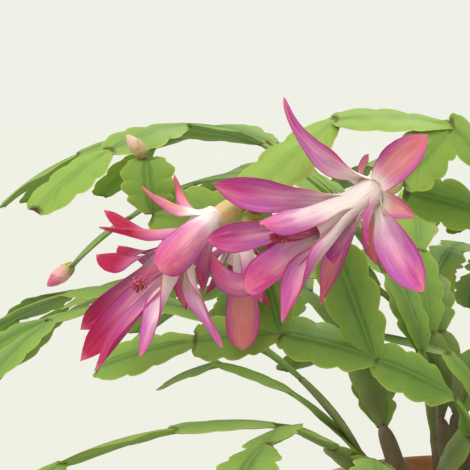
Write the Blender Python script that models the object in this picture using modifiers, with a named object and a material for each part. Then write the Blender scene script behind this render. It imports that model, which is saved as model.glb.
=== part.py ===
"""A potted christmas cactus: arching stems of flat segments, two large blooms, smaller ones, buds, soil and pot.

Lengths below are millimetres, turned into metres where a mesh is made. +Z is up and the origin is the
centre of the pot's base. Angles are degrees: a heading of 0 points along +X and 90 along +Y.
"""

import math
import random

import bmesh
import bpy
from mathutils import Quaternion, Vector

MM = 0.001
GAP = 0.3

# The pot, turned about +Z.
POT_HEIGHT = 132.0
POT_RIM_RADIUS = 75.0
POT_BASE_RADIUS = 50.0
POT_WALL = 4.5
POT_FLOOR = 6.0
COLLAR_HEIGHT = 30.0
COLLAR_STEP = 4.5
ROUND_STEPS = 48
DRAIN_HOLES = 4
DRAIN_RADIUS = 4.5
DRAIN_CIRCLE = 32.0
SOIL_TOP = 118.0

# Stem segments: a flat green blade between two narrow joints.
SEGMENT = 37.0
BLADE_WIDTH = 19.5
BLADE_HALF_THICK = 1.5
JOINT_HALF_WIDTH = 2.5
JOINT_HALF_THICK = 1.3
BOW = 1.4
WOODY_WIDTHS = (8.5, 14.0)
# Share of the segment's length, and share of the blade's half width there.
BLADE_OUTLINE = ((0.22, 0.72), (0.52, 1.0), (0.84, 0.9))
BLADE_TIP = 0.34

# How steeply each segment climbs, from the soil outwards, with a fork after each group.
TIERS = {
    "crown": ((85, 78), (58, 30), (2, -28)),
    "upper": ((84, 80, 70), (52, 34), (10, -16, -34)),
    "middle": ((80, 72, 56), (36, 16), (-4, -26, -40)),
    "outer": ((66, 52, 34), (15, -6), (-24, -42)),
    "low": ((50, 36, 18), (4, -14), (-28, -42)),
}
ROOT_RADIUS = {"crown": 7.0, "upper": 20.0, "middle": 26.0, "outer": 37.0, "low": 47.0}
# A side shoot from the trunk: the joint it leaves, how far it turns, and how its segments climb.
SHOOTS = {
    "crown": (1, 95, (48, 12, -24)),
    "upper": (2, -62, (44, 12, -18, -38)),
    "middle": (2, 58, (40, 8, -22, -38)),
    "outer": (1, -42, (38, 8, -20)),
    "low": (1, 38, (26, -6, -30)),
}
FIRST_FORK = 25.0
SECOND_FORK = 21.0
FORK_INSET = 0.8
FORK_OFFSET = 2.6

# name: tier, heading, seed of its small irregularities
STEMS = {
    "stem_01": ("middle", 11, 132),
    "stem_02": ("middle", 52, 58),
    "stem_03": ("middle", 118, 63),
    "stem_04": ("upper", 172, 83),
    "stem_05": ("middle", 320, 62),
    "stem_06": ("outer", 42, 24),
    "stem_07": ("outer", 97, 17),
    "stem_08": ("outer", 142, 127),
    "stem_09": ("outer", 345, 66),
    "stem_10": ("outer", 188, 77),
    "stem_11": ("low", 228, 81),
    "stem_12": ("low", 278, 87),
    "stem_13": ("crown", 50, 3),
    "stem_14": ("low", 316, 127),
}

# The stems that carry the large blooms follow joints chosen one by one: chain name, the chain and
# joint that it starts from, its joints, and the heading and tilt that each blade's face looks to.
BLOOM_STEM = {
    "trunk": (None, ((-14, -26, SOIL_TOP + GAP), (2, -40, 152), (12, -52, 187), (12, -62, 223), (-4, -74, 254), (-28, -92, 279)),
              ((250, 20), (262, 25), (275, 25), (258, 40), (250, 45))),
    "to_left_bloom": ("trunk", ((-28, -92, 279), (-66, -92, 281), (-96.9, -116.9, 255.5)),
                      ((265, 68), (248, 30))),
    "to_right_bloom": ("trunk", ((-28, -92, 279), (-45.5, -103.3, 261.5)),
                       ((285, 20),)),
}
BUD_STEM = {
    "trunk": (None, ((-30, -12, SOIL_TOP + GAP), (-25, -34, 143), (-16, -62, 168), (-25, -84, 186), (-53, -95, 200.5)),
              ((250, 35), (262, 40), (262, 45), (262, 40))),
    "upright": ("trunk", ((-53, -95, 200.5), (-67, -91, 239)), ((272, 8),)),
    "leftward": ("trunk", ((-53, -95, 200.5), (-84.5, -97, 209.5)), ((268, 45),)),
    "to_bud": ("leftward", ((-84.5, -97, 209.5), (-94, -91, 249), (-127.5, -96, 250), (-129.3, -98, 268.2)),
               ((262, 15), (268, 12), (262, 8))),
    "low_left": ("leftward", ((-84.5, -97, 209.5), (-113, -88, 206), (-147, -78, 195)),
                 ((265, 40), (262, 55))),
}
RIGHT_STEM = {
    "trunk": (None, ((24, -18, SOIL_TOP + GAP), (36, -28, 154), (44, -36, 190), (33, -46, 226), (-4, -62, 244.5), (-41, -78, 256)),
              ((255, 20), (262, 20), (258, 30), (262, 40), (270, 28))),
}

# Blooms: a tube from its base (ovary) past the throat to the mouth, with tepals set along it.
TUBE_SIDES = 8
OVARY_RADIUS = 3.3
NECK_RADIUS = 2.5
THROAT_RADIUS = 4.1
TUBE_RADIUS = 3.5
MOUTH_RADIUS = 4.4
TEPAL_HALF_THICK = 0.45
# Share of the tepal's length, and share of its half width there.
TEPAL_OUTLINE = ((0.0, 0.3), (0.26, 0.62), (0.5, 0.92), (0.7, 1.0), (0.88, 0.62), (1.0, 0.08))

RIGHT_BLOOM = {
    "base": (-46.5, -104.0, 260.7),
    "throat": (-55.7, -113.0, 258.7),
    "mouth": (-75.8, -129.0, 247.1),
}
LEFT_BLOOM = {
    "base": (-97.4, -117.0, 255.1),
    "throat": (-109.0, -120.0, 249.2),
    "mouth": (-122.0, -124.0, 236.4),
}

# A tepal that folds over in the plane that the photo shows has its curve's points as a tenth value.
SICKLE_AT = 9
# Tepals. seat: 0 at the throat, 1 at the mouth. azimuth: round the tube, 0 on its upper side. open: angle
# from the tube's direction at the base. spread: the same for the whole tepal. curl: how much further the
# tip bends back. Then length, width and roll of the blade about its own line.
RIGHT_TEPALS = (
    ("t01", 0.0, 11, 40, 67, 42, 39.5, 9.5, 15),
    ("t02", 0.0, 38, 60, 76, 8, 22, 8, 0),
    ("t03", 0.4, 40, 30, 39, 12, 42, 11, 40),
    ("t04", 0.4, -22, 10, 15, 12, 39.5, 10.5, -20),
    ("t05", 0.0, -57, 75, 99, 18, 30, 11, 0),
    ("t06", 0.0, 65, 110, 144, 0, 17, 7, 0),
    ("t07", 0.0, -107, 70, 77, -10, 17.5, 9, -20),
    ("t08", 0.05, -138, 60, 70, 10, 34.5, 12.5, -45),
    ("t09", 0.15, -113, 30, 38, 20, 22.5, 6, 0),
    ("t10", 0.0, 168, 70, 80, 10, 22, 8.5, 0),
    ("t11", 0.2, 152, 50, 62, 10, 36, 9, 0),
    ("t12", 1.0, 59, 15, 28, 10, 31, 10.5, 30),
    ("t13", 1.0, 141, 8, 13, 10, 27, 11, 0),
    ("t14", 0.6, -142, 13, 19, 12, 44, 10.5, -30),
    ("t15", 0.35, -174, 24, 31, 10, 18, 9, -10),
    ("t16", 0.9, 100, 10, 20, 10, 16, 6.5, 0),
)
LEFT_TEPALS = (
    ("t01", 0.0, -2, 55, 68, 25, 20.5, 7.5, -45),
    ("t02", 0.0, 55, 85, 106, 10, 21, 6.5, -40),
    ("t03", 0.6, 26, 50, 68, 10, 24, 7.5, -50),
    ("t04", 0.4, 1, 35, 46, 10, 27, 6.5, -50),
    ("t05", 0.9, 60, 30, 56, 15, 25, 9, -20),
    ("t06", 0.8, 71, 50, 70, 10, 24, 7, 0),
    ("t07", 0.0, -77, 30, 25, -10, 26, 12.5, 0),
    ("t08", 0.6, -157, 38, 62, 6, 31, 8, -45),
    ("t09", 0.0, 147, 40, 49, 5, 23.5, 7.5, 0),
    ("t10", 0.4, 145, 40, 51, 5, 24.5, 8, 0),
    ("t11", 1.0, 93, 16, 27, 0, 37, 9, 0),
    ("t12", 1.0, 119, 3, 8, 2, 41, 9, 0),
    ("t13", 1.0, 175, 0, 5, 2, 40, 10, 0),
    ("t14", 0.8, -136, 15, 22, 5, 33.5, 8.5, -75),
)
# The third bloom hangs behind the two large ones, and the rest are farther round the plant.
MIDDLE_BLOOM = {
    "base": (-93.8, -119.3, 251.9),
    "throat": (-98.4, -110.0, 241.5),
    "mouth": (-99.7, -108.0, 235.1),
}
MIDDLE_TEPALS = (
    ("t01", 0.0, -179, 40, 49, 30, 18.5, 7.5, 0),
    ("t02", 1.0, 167, 5, 12, 4, 28, 11.5, 0),
    ("t03", 1.0, 150, 0, 0, 0, 26, 8, 90, ((-95.1, -113.0, 235.5), (-87.2, -121.5, 227.5), (-106.4, -123.0, 223.1), (-107.7, -118.5, 239.6))),
    ("t04", 0.0, 78, 35, 48, 10, 13, 6.5, 0),
    ("t05", 1.0, 118, 22, 34, 10, 17, 7.5, 0),
    ("t06", 1.0, 48, 8, 17, 5, 18, 8, 0),
    ("t07", 0.0, -80, 30, 42, 10, 9, 6, 0),
    ("t08", 0.0, 8, 40, 56, 18, 16, 7, 0),
    ("t09", 1.0, -35, 6, 10, 4, 15, 7, 0),
)
# An open bloom's tepals seen round its tube: two whorls that spread and one that points ahead.
OPEN_TEPALS = (
    ("t01", 0.0, 5, 62, 84, 24, 30, 9.5, 0),
    ("t02", 0.0, -58, 66, 90, 22, 27, 9, 10),
    ("t03", 0.0, 66, 66, 92, 20, 27, 9, -10),
    ("t04", 0.0, 135, 60, 80, 18, 25, 9, 0),
    ("t05", 0.0, -130, 62, 82, 18, 26, 9, 0),
    ("t06", 0.9, -25, 26, 42, 22, 28, 10, 0),
    ("t07", 0.9, 38, 24, 40, 22, 29, 10, 0),
    ("t08", 0.9, 98, 18, 34, 20, 27, 9.5, 0),
    ("t09", 0.9, 160, 14, 30, 18, 25, 9, 0),
    ("t10", 0.9, -142, 16, 32, 18, 26, 9, 0),
    ("t11", 0.9, -88, 20, 36, 20, 27, 9.5, 0),
)
# name: stem and chain whose tip it hangs from, and how far it turns downwards
SIDE_BLOOMS = {
    "bloom_side": ("stem_09", 6, 0.55),
    "bloom_back": ("stem_06", 5, 0.7),
}
# name: stem and chain, or a base and tip in full, then the bud's length and its greatest radius
BUDS = {
    "bud_left": (((-129.8, -98.2, 269.1), (-135.8, -100.0, 276.4)), 9.6, 2.7),
    "bud_back": (("stem_03", 6), 17.0, 3.4),
    "bud_side": (("stem_01", 6), 12.0, 3.0),
    "bud_low": (("stem_12", 5), 14.0, 3.2),
}


# ---------------------------------------------------------------- meshes and materials


def clear_scene():
    for obj in list(bpy.data.objects):
        bpy.data.objects.remove(obj)


def new_collection(name):
    made = bpy.data.collections.new(name)
    bpy.context.scene.collection.children.link(made)
    return made


def material(name, color, roughness):
    made = bpy.data.materials.new(name)
    made.use_nodes = True
    shader = made.node_tree.nodes["Principled BSDF"]
    shader.inputs["Base Color"].default_value = (*color, 1.0)
    shader.inputs["Roughness"].default_value = roughness
    shader.inputs["Metallic"].default_value = 0.0
    return made


def add_object(name, mesh, finish, collection):
    obj = bpy.data.objects.new(name, mesh)
    collection.objects.link(obj)
    mesh.materials.append(finish)
    mesh.shade_smooth()
    mesh.set_sharp_from_angle(angle=math.radians(50))
    return obj


def loft(name, rings):
    """A closed mesh through rings of equally many points, with a flat cap at each end."""
    shape = bmesh.new()
    rows = [[shape.verts.new(point * MM) for point in ring] for ring in rings]
    sides = len(rows[0])
    for low, high in zip(rows, rows[1:]):
        for i in range(sides):
            j = (i + 1) % sides
            shape.faces.new((low[i], low[j], high[j], high[i]))
    shape.faces.new(list(reversed(rows[0])))
    shape.faces.new(rows[-1])
    bmesh.ops.recalc_face_normals(shape, faces=shape.faces)
    mesh = bpy.data.meshes.new(name)
    shape.to_mesh(mesh)
    shape.free()
    return mesh


def union(name, meshes, finish, collection, helpers):
    """One object from several overlapping closed meshes."""
    obj = add_object(name, meshes[0], finish, collection)
    if len(meshes) > 1:
        group = bpy.data.collections.new(name + "_joined")
        helpers.children.link(group)
        for i, mesh in enumerate(meshes[1:]):
            piece = bpy.data.objects.new(f"{name}_piece_{i}", mesh)
            piece.hide_render = True
            piece.display_type = "WIRE"
            group.objects.link(piece)
        join = obj.modifiers.new("Join", "BOOLEAN")
        join.operation = "UNION"
        join.solver = "EXACT"
        join.operand_type = "COLLECTION"
        join.collection = group
    return obj


# ---------------------------------------------------------------- pot and soil


def turned(name, profile, finish, collection):
    """A solid turned about +Z from (radius, height) points that run down the outside and back up the inside."""
    mesh = bpy.data.meshes.new(name)
    points = [(radius * MM, 0.0, height * MM) for radius, height in profile]
    mesh.from_pydata(points, [(i, i + 1) for i in range(len(points) - 1)], [])
    obj = bpy.data.objects.new(name, mesh)
    collection.objects.link(obj)
    mesh.materials.append(finish)
    screw = obj.modifiers.new("Turn", "SCREW")
    screw.axis = "Z"
    screw.steps = ROUND_STEPS
    screw.render_steps = ROUND_STEPS
    screw.use_merge_vertices = True
    screw.merge_threshold = 0.00001
    screw.use_smooth_shade = True
    return obj


def wall_radius(height):
    """The pot's outer radius below its collar."""
    top = POT_RIM_RADIUS - COLLAR_STEP
    return POT_BASE_RADIUS + (top - POT_BASE_RADIUS) * height / (POT_HEIGHT - COLLAR_HEIGHT)


def inner_radius(height):
    """The inner wall, parallel to the outer one below the collar and carried on to the rim."""
    return wall_radius(height) - POT_WALL


def make_pot(finish, collection, helpers):
    collar_low = POT_HEIGHT - COLLAR_HEIGHT
    profile = (
        (0.0, POT_FLOOR),
        (inner_radius(POT_FLOOR) - 3.0, POT_FLOOR),
        (inner_radius(POT_FLOOR + 3.0), POT_FLOOR + 3.0),
        (inner_radius(collar_low), collar_low),
        (POT_RIM_RADIUS - POT_WALL, POT_HEIGHT - 1.5),
        (POT_RIM_RADIUS - POT_WALL + 1.5, POT_HEIGHT),
        (POT_RIM_RADIUS - 1.5, POT_HEIGHT),
        (POT_RIM_RADIUS, POT_HEIGHT - 1.5),
        (POT_RIM_RADIUS - 1.0, collar_low + 1.0),
        (POT_RIM_RADIUS - 2.0, collar_low),
        (wall_radius(collar_low), collar_low),
        (POT_BASE_RADIUS + 0.3, 1.5),
        (POT_BASE_RADIUS - 1.2, 0.0),
        (0.0, 0.0),
    )
    pot = turned("pot", profile, finish, collection)
    for i in range(DRAIN_HOLES):
        angle = math.tau * (i + 0.5) / DRAIN_HOLES
        drill = bmesh.new()
        bmesh.ops.create_cone(
            drill, cap_ends=True, segments=16, radius1=DRAIN_RADIUS * MM, radius2=DRAIN_RADIUS * MM,
            depth=3 * POT_FLOOR * MM,
        )
        mesh = bpy.data.meshes.new(f"drain_{i}")
        drill.to_mesh(mesh)
        drill.free()
        cutter = bpy.data.objects.new(f"drain_{i}", mesh)
        cutter.location = (
            DRAIN_CIRCLE * math.cos(angle) * MM,
            DRAIN_CIRCLE * math.sin(angle) * MM,
            POT_FLOOR / 2 * MM,
        )
        cutter.hide_render = True
        cutter.display_type = "WIRE"
        helpers.objects.link(cutter)
        cut = pot.modifiers.new(f"Drain {i}", "BOOLEAN")
        cut.operation = "DIFFERENCE"
        cut.solver = "EXACT"
        cut.object = cutter
    return pot


def make_soil(finish, collection):
    low = POT_FLOOR + GAP
    collar_low = POT_HEIGHT - COLLAR_HEIGHT
    inside_top = inner_radius(collar_low) + (POT_RIM_RADIUS - POT_WALL - inner_radius(collar_low)) * (
        SOIL_TOP - collar_low
    ) / (POT_HEIGHT - 1.5 - collar_low)
    profile = (
        (0.0, SOIL_TOP),
        (inside_top - GAP - 0.6, SOIL_TOP),
        (inner_radius(collar_low) - GAP - 0.1, collar_low),
        (inner_radius(POT_FLOOR + 3.0) - GAP - 0.2, POT_FLOOR + 3.0 + GAP),
        (inner_radius(POT_FLOOR) - 3.4, low),
        (0.0, low),
    )
    return turned("soil", profile, finish, collection)


# ---------------------------------------------------------------- stems


def heading_vector(heading, tilt):
    a, b = math.radians(heading), math.radians(tilt)
    return Vector((math.cos(b) * math.cos(a), math.cos(b) * math.sin(a), math.sin(b)))


def chain_widths(count, rooted):
    """Blade widths along a chain. A rooted one begins with narrow woody segments."""
    woody = WOODY_WIDTHS[:count] if rooted else ()
    return list(woody) + [BLADE_WIDTH] * (count - len(woody))


def grow_chain(start, heading, climbs, rng, rooted=False):
    """A chain of segments from start: its joints, the face direction of each blade and the blades' widths."""
    points, faces = [start], []
    for climb in climbs:
        heading += rng.uniform(-8, 8)
        along = heading_vector(heading, climb + rng.uniform(-4, 4))
        points.append(points[-1] + along * SEGMENT * rng.uniform(0.93, 1.07))
        level = heading_vector(heading, climb + 90)
        faces.append(Quaternion(along, math.radians(rng.uniform(-22, 22))) @ level)
    return {"points": points, "faces": faces, "widths": chain_widths(len(climbs), rooted)}


def fork(parent, heading, climbs, turn, rng):
    """Two chains from the tip of parent, turned to either side."""
    tip, before = parent["points"][-1], parent["points"][-2]
    along = (tip - before).normalized()
    side = along.cross(parent["faces"][-1]).normalized()
    made = []
    for hand in (-1, 1):
        start = tip - along * FORK_INSET - side * hand * FORK_OFFSET
        made.append((grow_chain(start, heading + hand * turn, climbs, rng), heading + hand * turn))
    return made


def grow_stem(tier, heading, seed):
    """All chains of a stem that forks twice and has one side shoot."""
    rng = random.Random(seed)
    first, second, third = TIERS[tier]
    a = math.radians(heading)
    radius = ROOT_RADIUS[tier]
    root = Vector((radius * math.cos(a), radius * math.sin(a), SOIL_TOP + GAP))
    trunk = grow_chain(root, heading, first, rng, rooted=True)
    chains = [trunk]
    for limb, way in fork(trunk, heading, second, FIRST_FORK, rng):
        chains.append(limb)
        for twig, _ in fork(limb, way, third, SECOND_FORK, rng):
            chains.append(twig)
    joint, turn, climbs = SHOOTS[tier]
    chains.append(grow_chain(trunk["points"][joint] - Vector((0, 0, FORK_INSET)), heading + turn, climbs, rng))
    return chains


def placed_stem(table):
    """The chains of a stem whose joints are given."""
    chains = []
    for parent, points, looks in table.values():
        joints = [Vector(p) for p in points]
        if parent:
            joints[0] = joints[0] - (joints[1] - joints[0]).normalized() * FORK_INSET
        faces = [heading_vector(*look) for look in looks]
        chains.append({"points": joints, "faces": faces, "widths": chain_widths(len(faces), parent is None)})
    return chains


def chain_rings(chain):
    """Four-cornered rings along a chain: edge, top, edge, underside."""
    points, faces, widths = chain["points"], chain["faces"], chain["widths"]
    rings = []

    def ring(centre, side, half_width, normal, half_thick):
        rings.append(
            (
                centre - side * half_width,
                centre + normal * half_thick,
                centre + side * half_width,
                centre - normal * half_thick,
            )
        )

    frames = []
    for a, b, face in zip(points, points[1:], faces):
        along = (b - a).normalized()
        normal = (face - along * face.dot(along)).normalized()
        frames.append((along.cross(normal), normal))
    for i, (side, normal) in enumerate(frames):
        before = frames[i - 1] if i else (side, normal)
        joint_side = (side + before[0]).normalized()
        joint_normal = (normal + before[1]).normalized()
        ring(points[i], joint_side, JOINT_HALF_WIDTH, joint_normal, JOINT_HALF_THICK)
        for share, wide in BLADE_OUTLINE:
            centre = points[i].lerp(points[i + 1], share) + normal * BOW * 4 * share * (1 - share)
            ring(centre, side, wide * widths[i] / 2, normal, BLADE_HALF_THICK)
    side, normal = frames[-1]
    ring(points[-1], side, BLADE_TIP * widths[-1] / 2, normal, JOINT_HALF_THICK)
    return rings


def stem_meshes(name, chains):
    meshes = []
    for i, chain in enumerate(chains):
        rings = chain_rings(chain)
        if i == 0:
            rings[0] = [Vector((p.x, p.y, SOIL_TOP + GAP)) for p in rings[0]]
        meshes.append(loft(f"{name}_chain_{i}", rings))
    return meshes


# ---------------------------------------------------------------- blooms


def tube_frame(bloom):
    """The tube's direction, with its upward and sideways directions."""
    along = (Vector(bloom["mouth"]) - Vector(bloom["throat"])).normalized()
    up = (Vector((0, 0, 1)) - along * along.z).normalized()
    return along, up, along.cross(up)


def ring_points(centre, along, radius):
    up = (Vector((0, 0, 1)) - along * along.z).normalized()
    side = along.cross(up)
    return [
        centre + (up * math.cos(a) + side * math.sin(a)) * radius
        for a in (math.tau * (i + 0.5) / TUBE_SIDES for i in range(TUBE_SIDES))
    ]


def tube_mesh(name, bloom):
    base, throat, mouth = (Vector(bloom[k]) for k in ("base", "throat", "mouth"))
    first = (throat - base).normalized()
    along = tube_frame(bloom)[0]
    blend = (first + along).normalized()
    rings = [
        ring_points(base + first * 0.4, first, NECK_RADIUS),
        ring_points(base.lerp(throat, 0.4), first, OVARY_RADIUS),
        ring_points(base.lerp(throat, 0.8), blend, OVARY_RADIUS),
        ring_points(throat, blend, THROAT_RADIUS),
        ring_points(throat.lerp(mouth, 0.4), along, TUBE_RADIUS),
        ring_points(mouth, along, MOUTH_RADIUS),
    ]
    return loft(name, rings)


def tube_radius(seat):
    """The tube's radius at a share of the way from throat to mouth."""
    if seat < 0.4:
        return THROAT_RADIUS + (TUBE_RADIUS - THROAT_RADIUS) * seat / 0.4
    return TUBE_RADIUS + (MOUTH_RADIUS - TUBE_RADIUS) * (seat - 0.4) / 0.6


def tepal_line(bloom, row, sunk=0.0):
    """A tepal's centre line as a cubic curve: its four control points, with the plane's two directions.

    It starts just clear of the tube, or sunk into it by the given depth.
    """
    if len(row) > SICKLE_AT:
        return tuple(Vector(point) for point in row[SICKLE_AT]), Vector((0, 0, -1)), Vector((1, 0, 0))
    seat, azimuth, opening, spread, curl, length = row[1:7]
    clearance = 0.35 + TEPAL_HALF_THICK * math.cos(math.radians(opening)) - sunk
    along, up, side = tube_frame(bloom)
    a = math.radians(azimuth)
    outward = up * math.cos(a) + side * math.sin(a)

    def lean(angle):
        return along * math.cos(math.radians(angle)) + outward * math.sin(math.radians(angle))

    centre = Vector(bloom["throat"]).lerp(Vector(bloom["mouth"]), seat)
    start = centre + outward * (tube_radius(seat) + clearance)
    tip = start + lean(spread) * length
    return (start, start + lean(opening) * length * 0.36, tip - lean(spread + curl) * length * 0.33, tip), along, outward


def curve_at(points, t):
    """Place and direction on a cubic curve."""
    a, b, c, d = points
    s = 1 - t
    place = a * s**3 + b * 3 * s * s * t + c * 3 * s * t * t + d * t**3
    slope = (b - a) * s * s + (c - b) * 2 * s * t + (d - c) * t * t
    return place, slope.normalized()


def tepal_rings(bloom, row, sunk=0.0):
    line, along, outward = tepal_line(bloom, row, sunk)
    width, roll = row[7], row[8]
    across = outward.cross(along)
    rings = []
    for t, wide in TEPAL_OUTLINE:
        place, slope = curve_at(line, t)
        normal = across.cross(slope).normalized()
        rolled = 1.0 if len(row) > SICKLE_AT else min(1.0, 1.8 * t)
        turn = Quaternion(slope, math.radians(roll * rolled))
        normal = turn @ normal
        side = slope.cross(normal)
        half = wide * width / 2
        thick = TEPAL_HALF_THICK * (1 - 0.5 * t)
        rings.append((place - side * half, place + normal * thick, place + side * half, place - normal * thick))
    return rings


def whole_bloom(name, bloom, tepals, finish, collection, helpers):
    """A bloom as one piece, its tepals rooted in the tube."""
    meshes = [tube_mesh(f"{name}_tube", bloom)]
    for row in tepals:
        meshes.append(loft(f"{name}_{row[0]}", tepal_rings(bloom, row, 2.2)))
    return union(name, meshes, finish, collection, helpers)


def hung_bloom(chain, droop):
    """The frame of a bloom that hangs from a chain's tip."""
    tip, before = chain["points"][-1], chain["points"][-2]
    along = (tip - before).normalized()
    down = Vector((0, 0, -1))
    first = along.lerp(down, droop * 0.25).normalized()
    second = along.lerp(down, droop).normalized()
    base = tip + along * 0.6
    throat = base + first * 12.0
    return {"base": base, "throat": throat, "mouth": throat + second * 20.0}


def bud_mesh(name, base, tip, radius):
    along = (tip - base).normalized()
    length = (tip - base).length
    rings = [
        ring_points(base + along * length * share, along, radius * wide)
        for share, wide in ((0.0, 0.5), (0.25, 0.85), (0.5, 1.0), (0.78, 0.75), (1.0, 0.2))
    ]
    return loft(name, rings)


def stamen_mesh(name, bloom, reach):
    """The bundle of stamens with the style, from just beyond the mouth."""
    along = tube_frame(bloom)[0]
    start = Vector(bloom["mouth"]) + along * GAP
    rings = [
        ring_points(start, along, 1.6),
        ring_points(start + along * reach * 0.75, along, 1.1),
        ring_points(start + along * reach * 0.85, along, 1.9),
        ring_points(start + along * reach, along, 0.8),
    ]
    return loft(name, rings)


def build():
    clear_scene()
    plant = new_collection("potted_christmas_cactus")
    helpers = new_collection("helpers")
    green = material("stem_green", (0.17, 0.33, 0.06), 0.45)
    pink = material("tepal_pink", (0.78, 0.16, 0.42), 0.5)
    pale = material("tube_pale", (0.86, 0.66, 0.6), 0.5)
    crimson = material("stamen_crimson", (0.6, 0.05, 0.2), 0.5)
    clay = material("pot_clay", (0.55, 0.24, 0.13), 0.85)
    earth = material("soil", (0.05, 0.035, 0.025), 0.95)

    make_pot(clay, plant, helpers)
    make_soil(earth, plant)
    grown = {name: grow_stem(*plan) for name, plan in STEMS.items()}
    for name, chains in grown.items():
        union(name, stem_meshes(name, chains), green, plant, helpers)
    for name, table in (("stem_bloom", BLOOM_STEM), ("stem_bud", BUD_STEM), ("stem_right", RIGHT_STEM)):
        union(name, stem_meshes(name, placed_stem(table)), green, plant, helpers)
    for name, bloom, tepals, reach in (
        ("bloom_right", RIGHT_BLOOM, RIGHT_TEPALS, 15.0),
        ("bloom_left", LEFT_BLOOM, LEFT_TEPALS, 12.0),
    ):
        add_object(f"{name}_tube", tube_mesh(f"{name}_tube", bloom), pale, plant)
        add_object(f"{name}_stamens", stamen_mesh(f"{name}_stamens", bloom, reach), crimson, plant)
        for row in tepals:
            tepal = f"{name}_{row[0]}"
            add_object(tepal, loft(tepal, tepal_rings(bloom, row)), pink, plant)
    whole_bloom("bloom_middle", MIDDLE_BLOOM, MIDDLE_TEPALS, pink, plant, helpers)
    for name, (stem, chain, droop) in SIDE_BLOOMS.items():
        whole_bloom(name, hung_bloom(grown[stem][chain], droop), OPEN_TEPALS, pink, plant, helpers)
    for name, (place, length, radius) in BUDS.items():
        if place[0] in grown:
            points = grown[place[0]][place[1]]["points"]
            along = (points[-1] - points[-2]).normalized()
            base = points[-1] + along * 0.6
            tip = base + along * length
        else:
            base, tip = (Vector(p) for p in place)
        add_object(name, bud_mesh(name, base, tip, radius), pink, plant)


build()
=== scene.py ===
"""The looks of a potted christmas cactus: flat scalloped segments, pink blooms, buds, soil and pot.

Lengths are millimetres until a mesh is made. +Z is up and the origin is the centre of the pot's base.
Angles are degrees: a heading of 0 points along +X and 90 along +Y.
"""

import math
import random

import bpy
import numpy as np
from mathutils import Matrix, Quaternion, Vector, noise


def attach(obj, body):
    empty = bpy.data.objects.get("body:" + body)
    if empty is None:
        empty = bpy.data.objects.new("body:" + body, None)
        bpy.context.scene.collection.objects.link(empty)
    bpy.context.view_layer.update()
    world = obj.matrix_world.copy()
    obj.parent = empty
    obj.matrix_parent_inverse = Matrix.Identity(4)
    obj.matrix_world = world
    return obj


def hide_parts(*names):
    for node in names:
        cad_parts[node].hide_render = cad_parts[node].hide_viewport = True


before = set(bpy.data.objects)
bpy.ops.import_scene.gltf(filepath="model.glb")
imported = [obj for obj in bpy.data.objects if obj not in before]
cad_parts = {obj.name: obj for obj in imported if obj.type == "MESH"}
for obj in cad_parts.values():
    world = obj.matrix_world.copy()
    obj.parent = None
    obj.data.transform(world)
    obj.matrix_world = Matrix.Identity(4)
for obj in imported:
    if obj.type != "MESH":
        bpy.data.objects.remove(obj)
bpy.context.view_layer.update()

MM = 0.001
GAP = 0.3
TURN = 6.2832
# Depth of fine surface relief, in metres.
FINE_RELIEF = 0.0003

# The pot, turned about +Z.
POT_HEIGHT = 132.0
POT_RIM_RADIUS = 75.0
POT_BASE_RADIUS = 50.0
POT_WALL = 4.5
POT_FLOOR = 6.0
COLLAR_HEIGHT = 30.0
COLLAR_STEP = 4.5
DRAIN_HOLES = 4
DRAIN_RADIUS = 4.5
DRAIN_CIRCLE = 32.0
SOIL_TOP = 118.0
CRUMBS = 420

# Stem segments: a flat green blade between two narrow joints.
SEGMENT = 37.0
BLADE_WIDTH = 19.5
BOW = 1.4
BLADE_EDGE = 0.3
BRISTLE_RADIUS = 0.14
WOODY_WIDTHS = (8.5, 14.0)

# A blade's margin has lobes within an envelope: share of its length, and share of its half width there.
LOBES = 3
ENVELOPE = (
    (0, 0.25), (0.05, 0.33), (0.14, 0.58), (0.28, 0.83), (0.48, 0.98), (0.66, 1.0), (0.82, 0.95),
    (0.91, 0.82), (0.96, 0.64), (0.985, 0.5), (1.0, 0.36),
)
# How woody and how aged each segment of a trunk is, from the soil up.
TRUNK_AGEING = ((1.0, 0.9), (0.55, 0.75), (0.0, 0.6), (0.0, 0.5))

# How steeply each segment climbs, from the soil outwards, with a fork after each group.
TIERS = {
    "crown": ((85, 78), (58, 30), (2, -28)),
    "upper": ((84, 80, 70), (52, 34), (10, -16, -34)),
    "middle": ((80, 72, 56), (36, 16), (-4, -26, -40)),
    "outer": ((66, 52, 34), (15, -6), (-24, -42)),
    "low": ((50, 36, 18), (4, -14), (-28, -42)),
}
ROOT_RADIUS = {"crown": 7.0, "upper": 20.0, "middle": 26.0, "outer": 37.0, "low": 47.0}
# A side shoot from the trunk: the joint it leaves, how far it turns, and how its segments climb.
SHOOTS = {
    "crown": (1, 95, (48, 12, -24)),
    "upper": (2, -62, (44, 12, -18, -38)),
    "middle": (2, 58, (40, 8, -22, -38)),
    "outer": (1, -42, (38, 8, -20)),
    "low": (1, 38, (26, -6, -30)),
}
FIRST_FORK = 25.0
SECOND_FORK = 21.0
FORK_INSET = 0.8
FORK_OFFSET = 2.6

# stem_01 onwards: tier, heading, seed of its small irregularities
STEMS = (
    ("middle", 11, 132),
    ("middle", 52, 58),
    ("middle", 118, 63),
    ("upper", 172, 83),
    ("middle", 320, 62),
    ("outer", 42, 24),
    ("outer", 97, 17),
    ("outer", 142, 127),
    ("outer", 345, 66),
    ("outer", 188, 77),
    ("low", 228, 81),
    ("low", 278, 87),
    ("crown", 50, 3),
    ("low", 316, 127),
)

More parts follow.
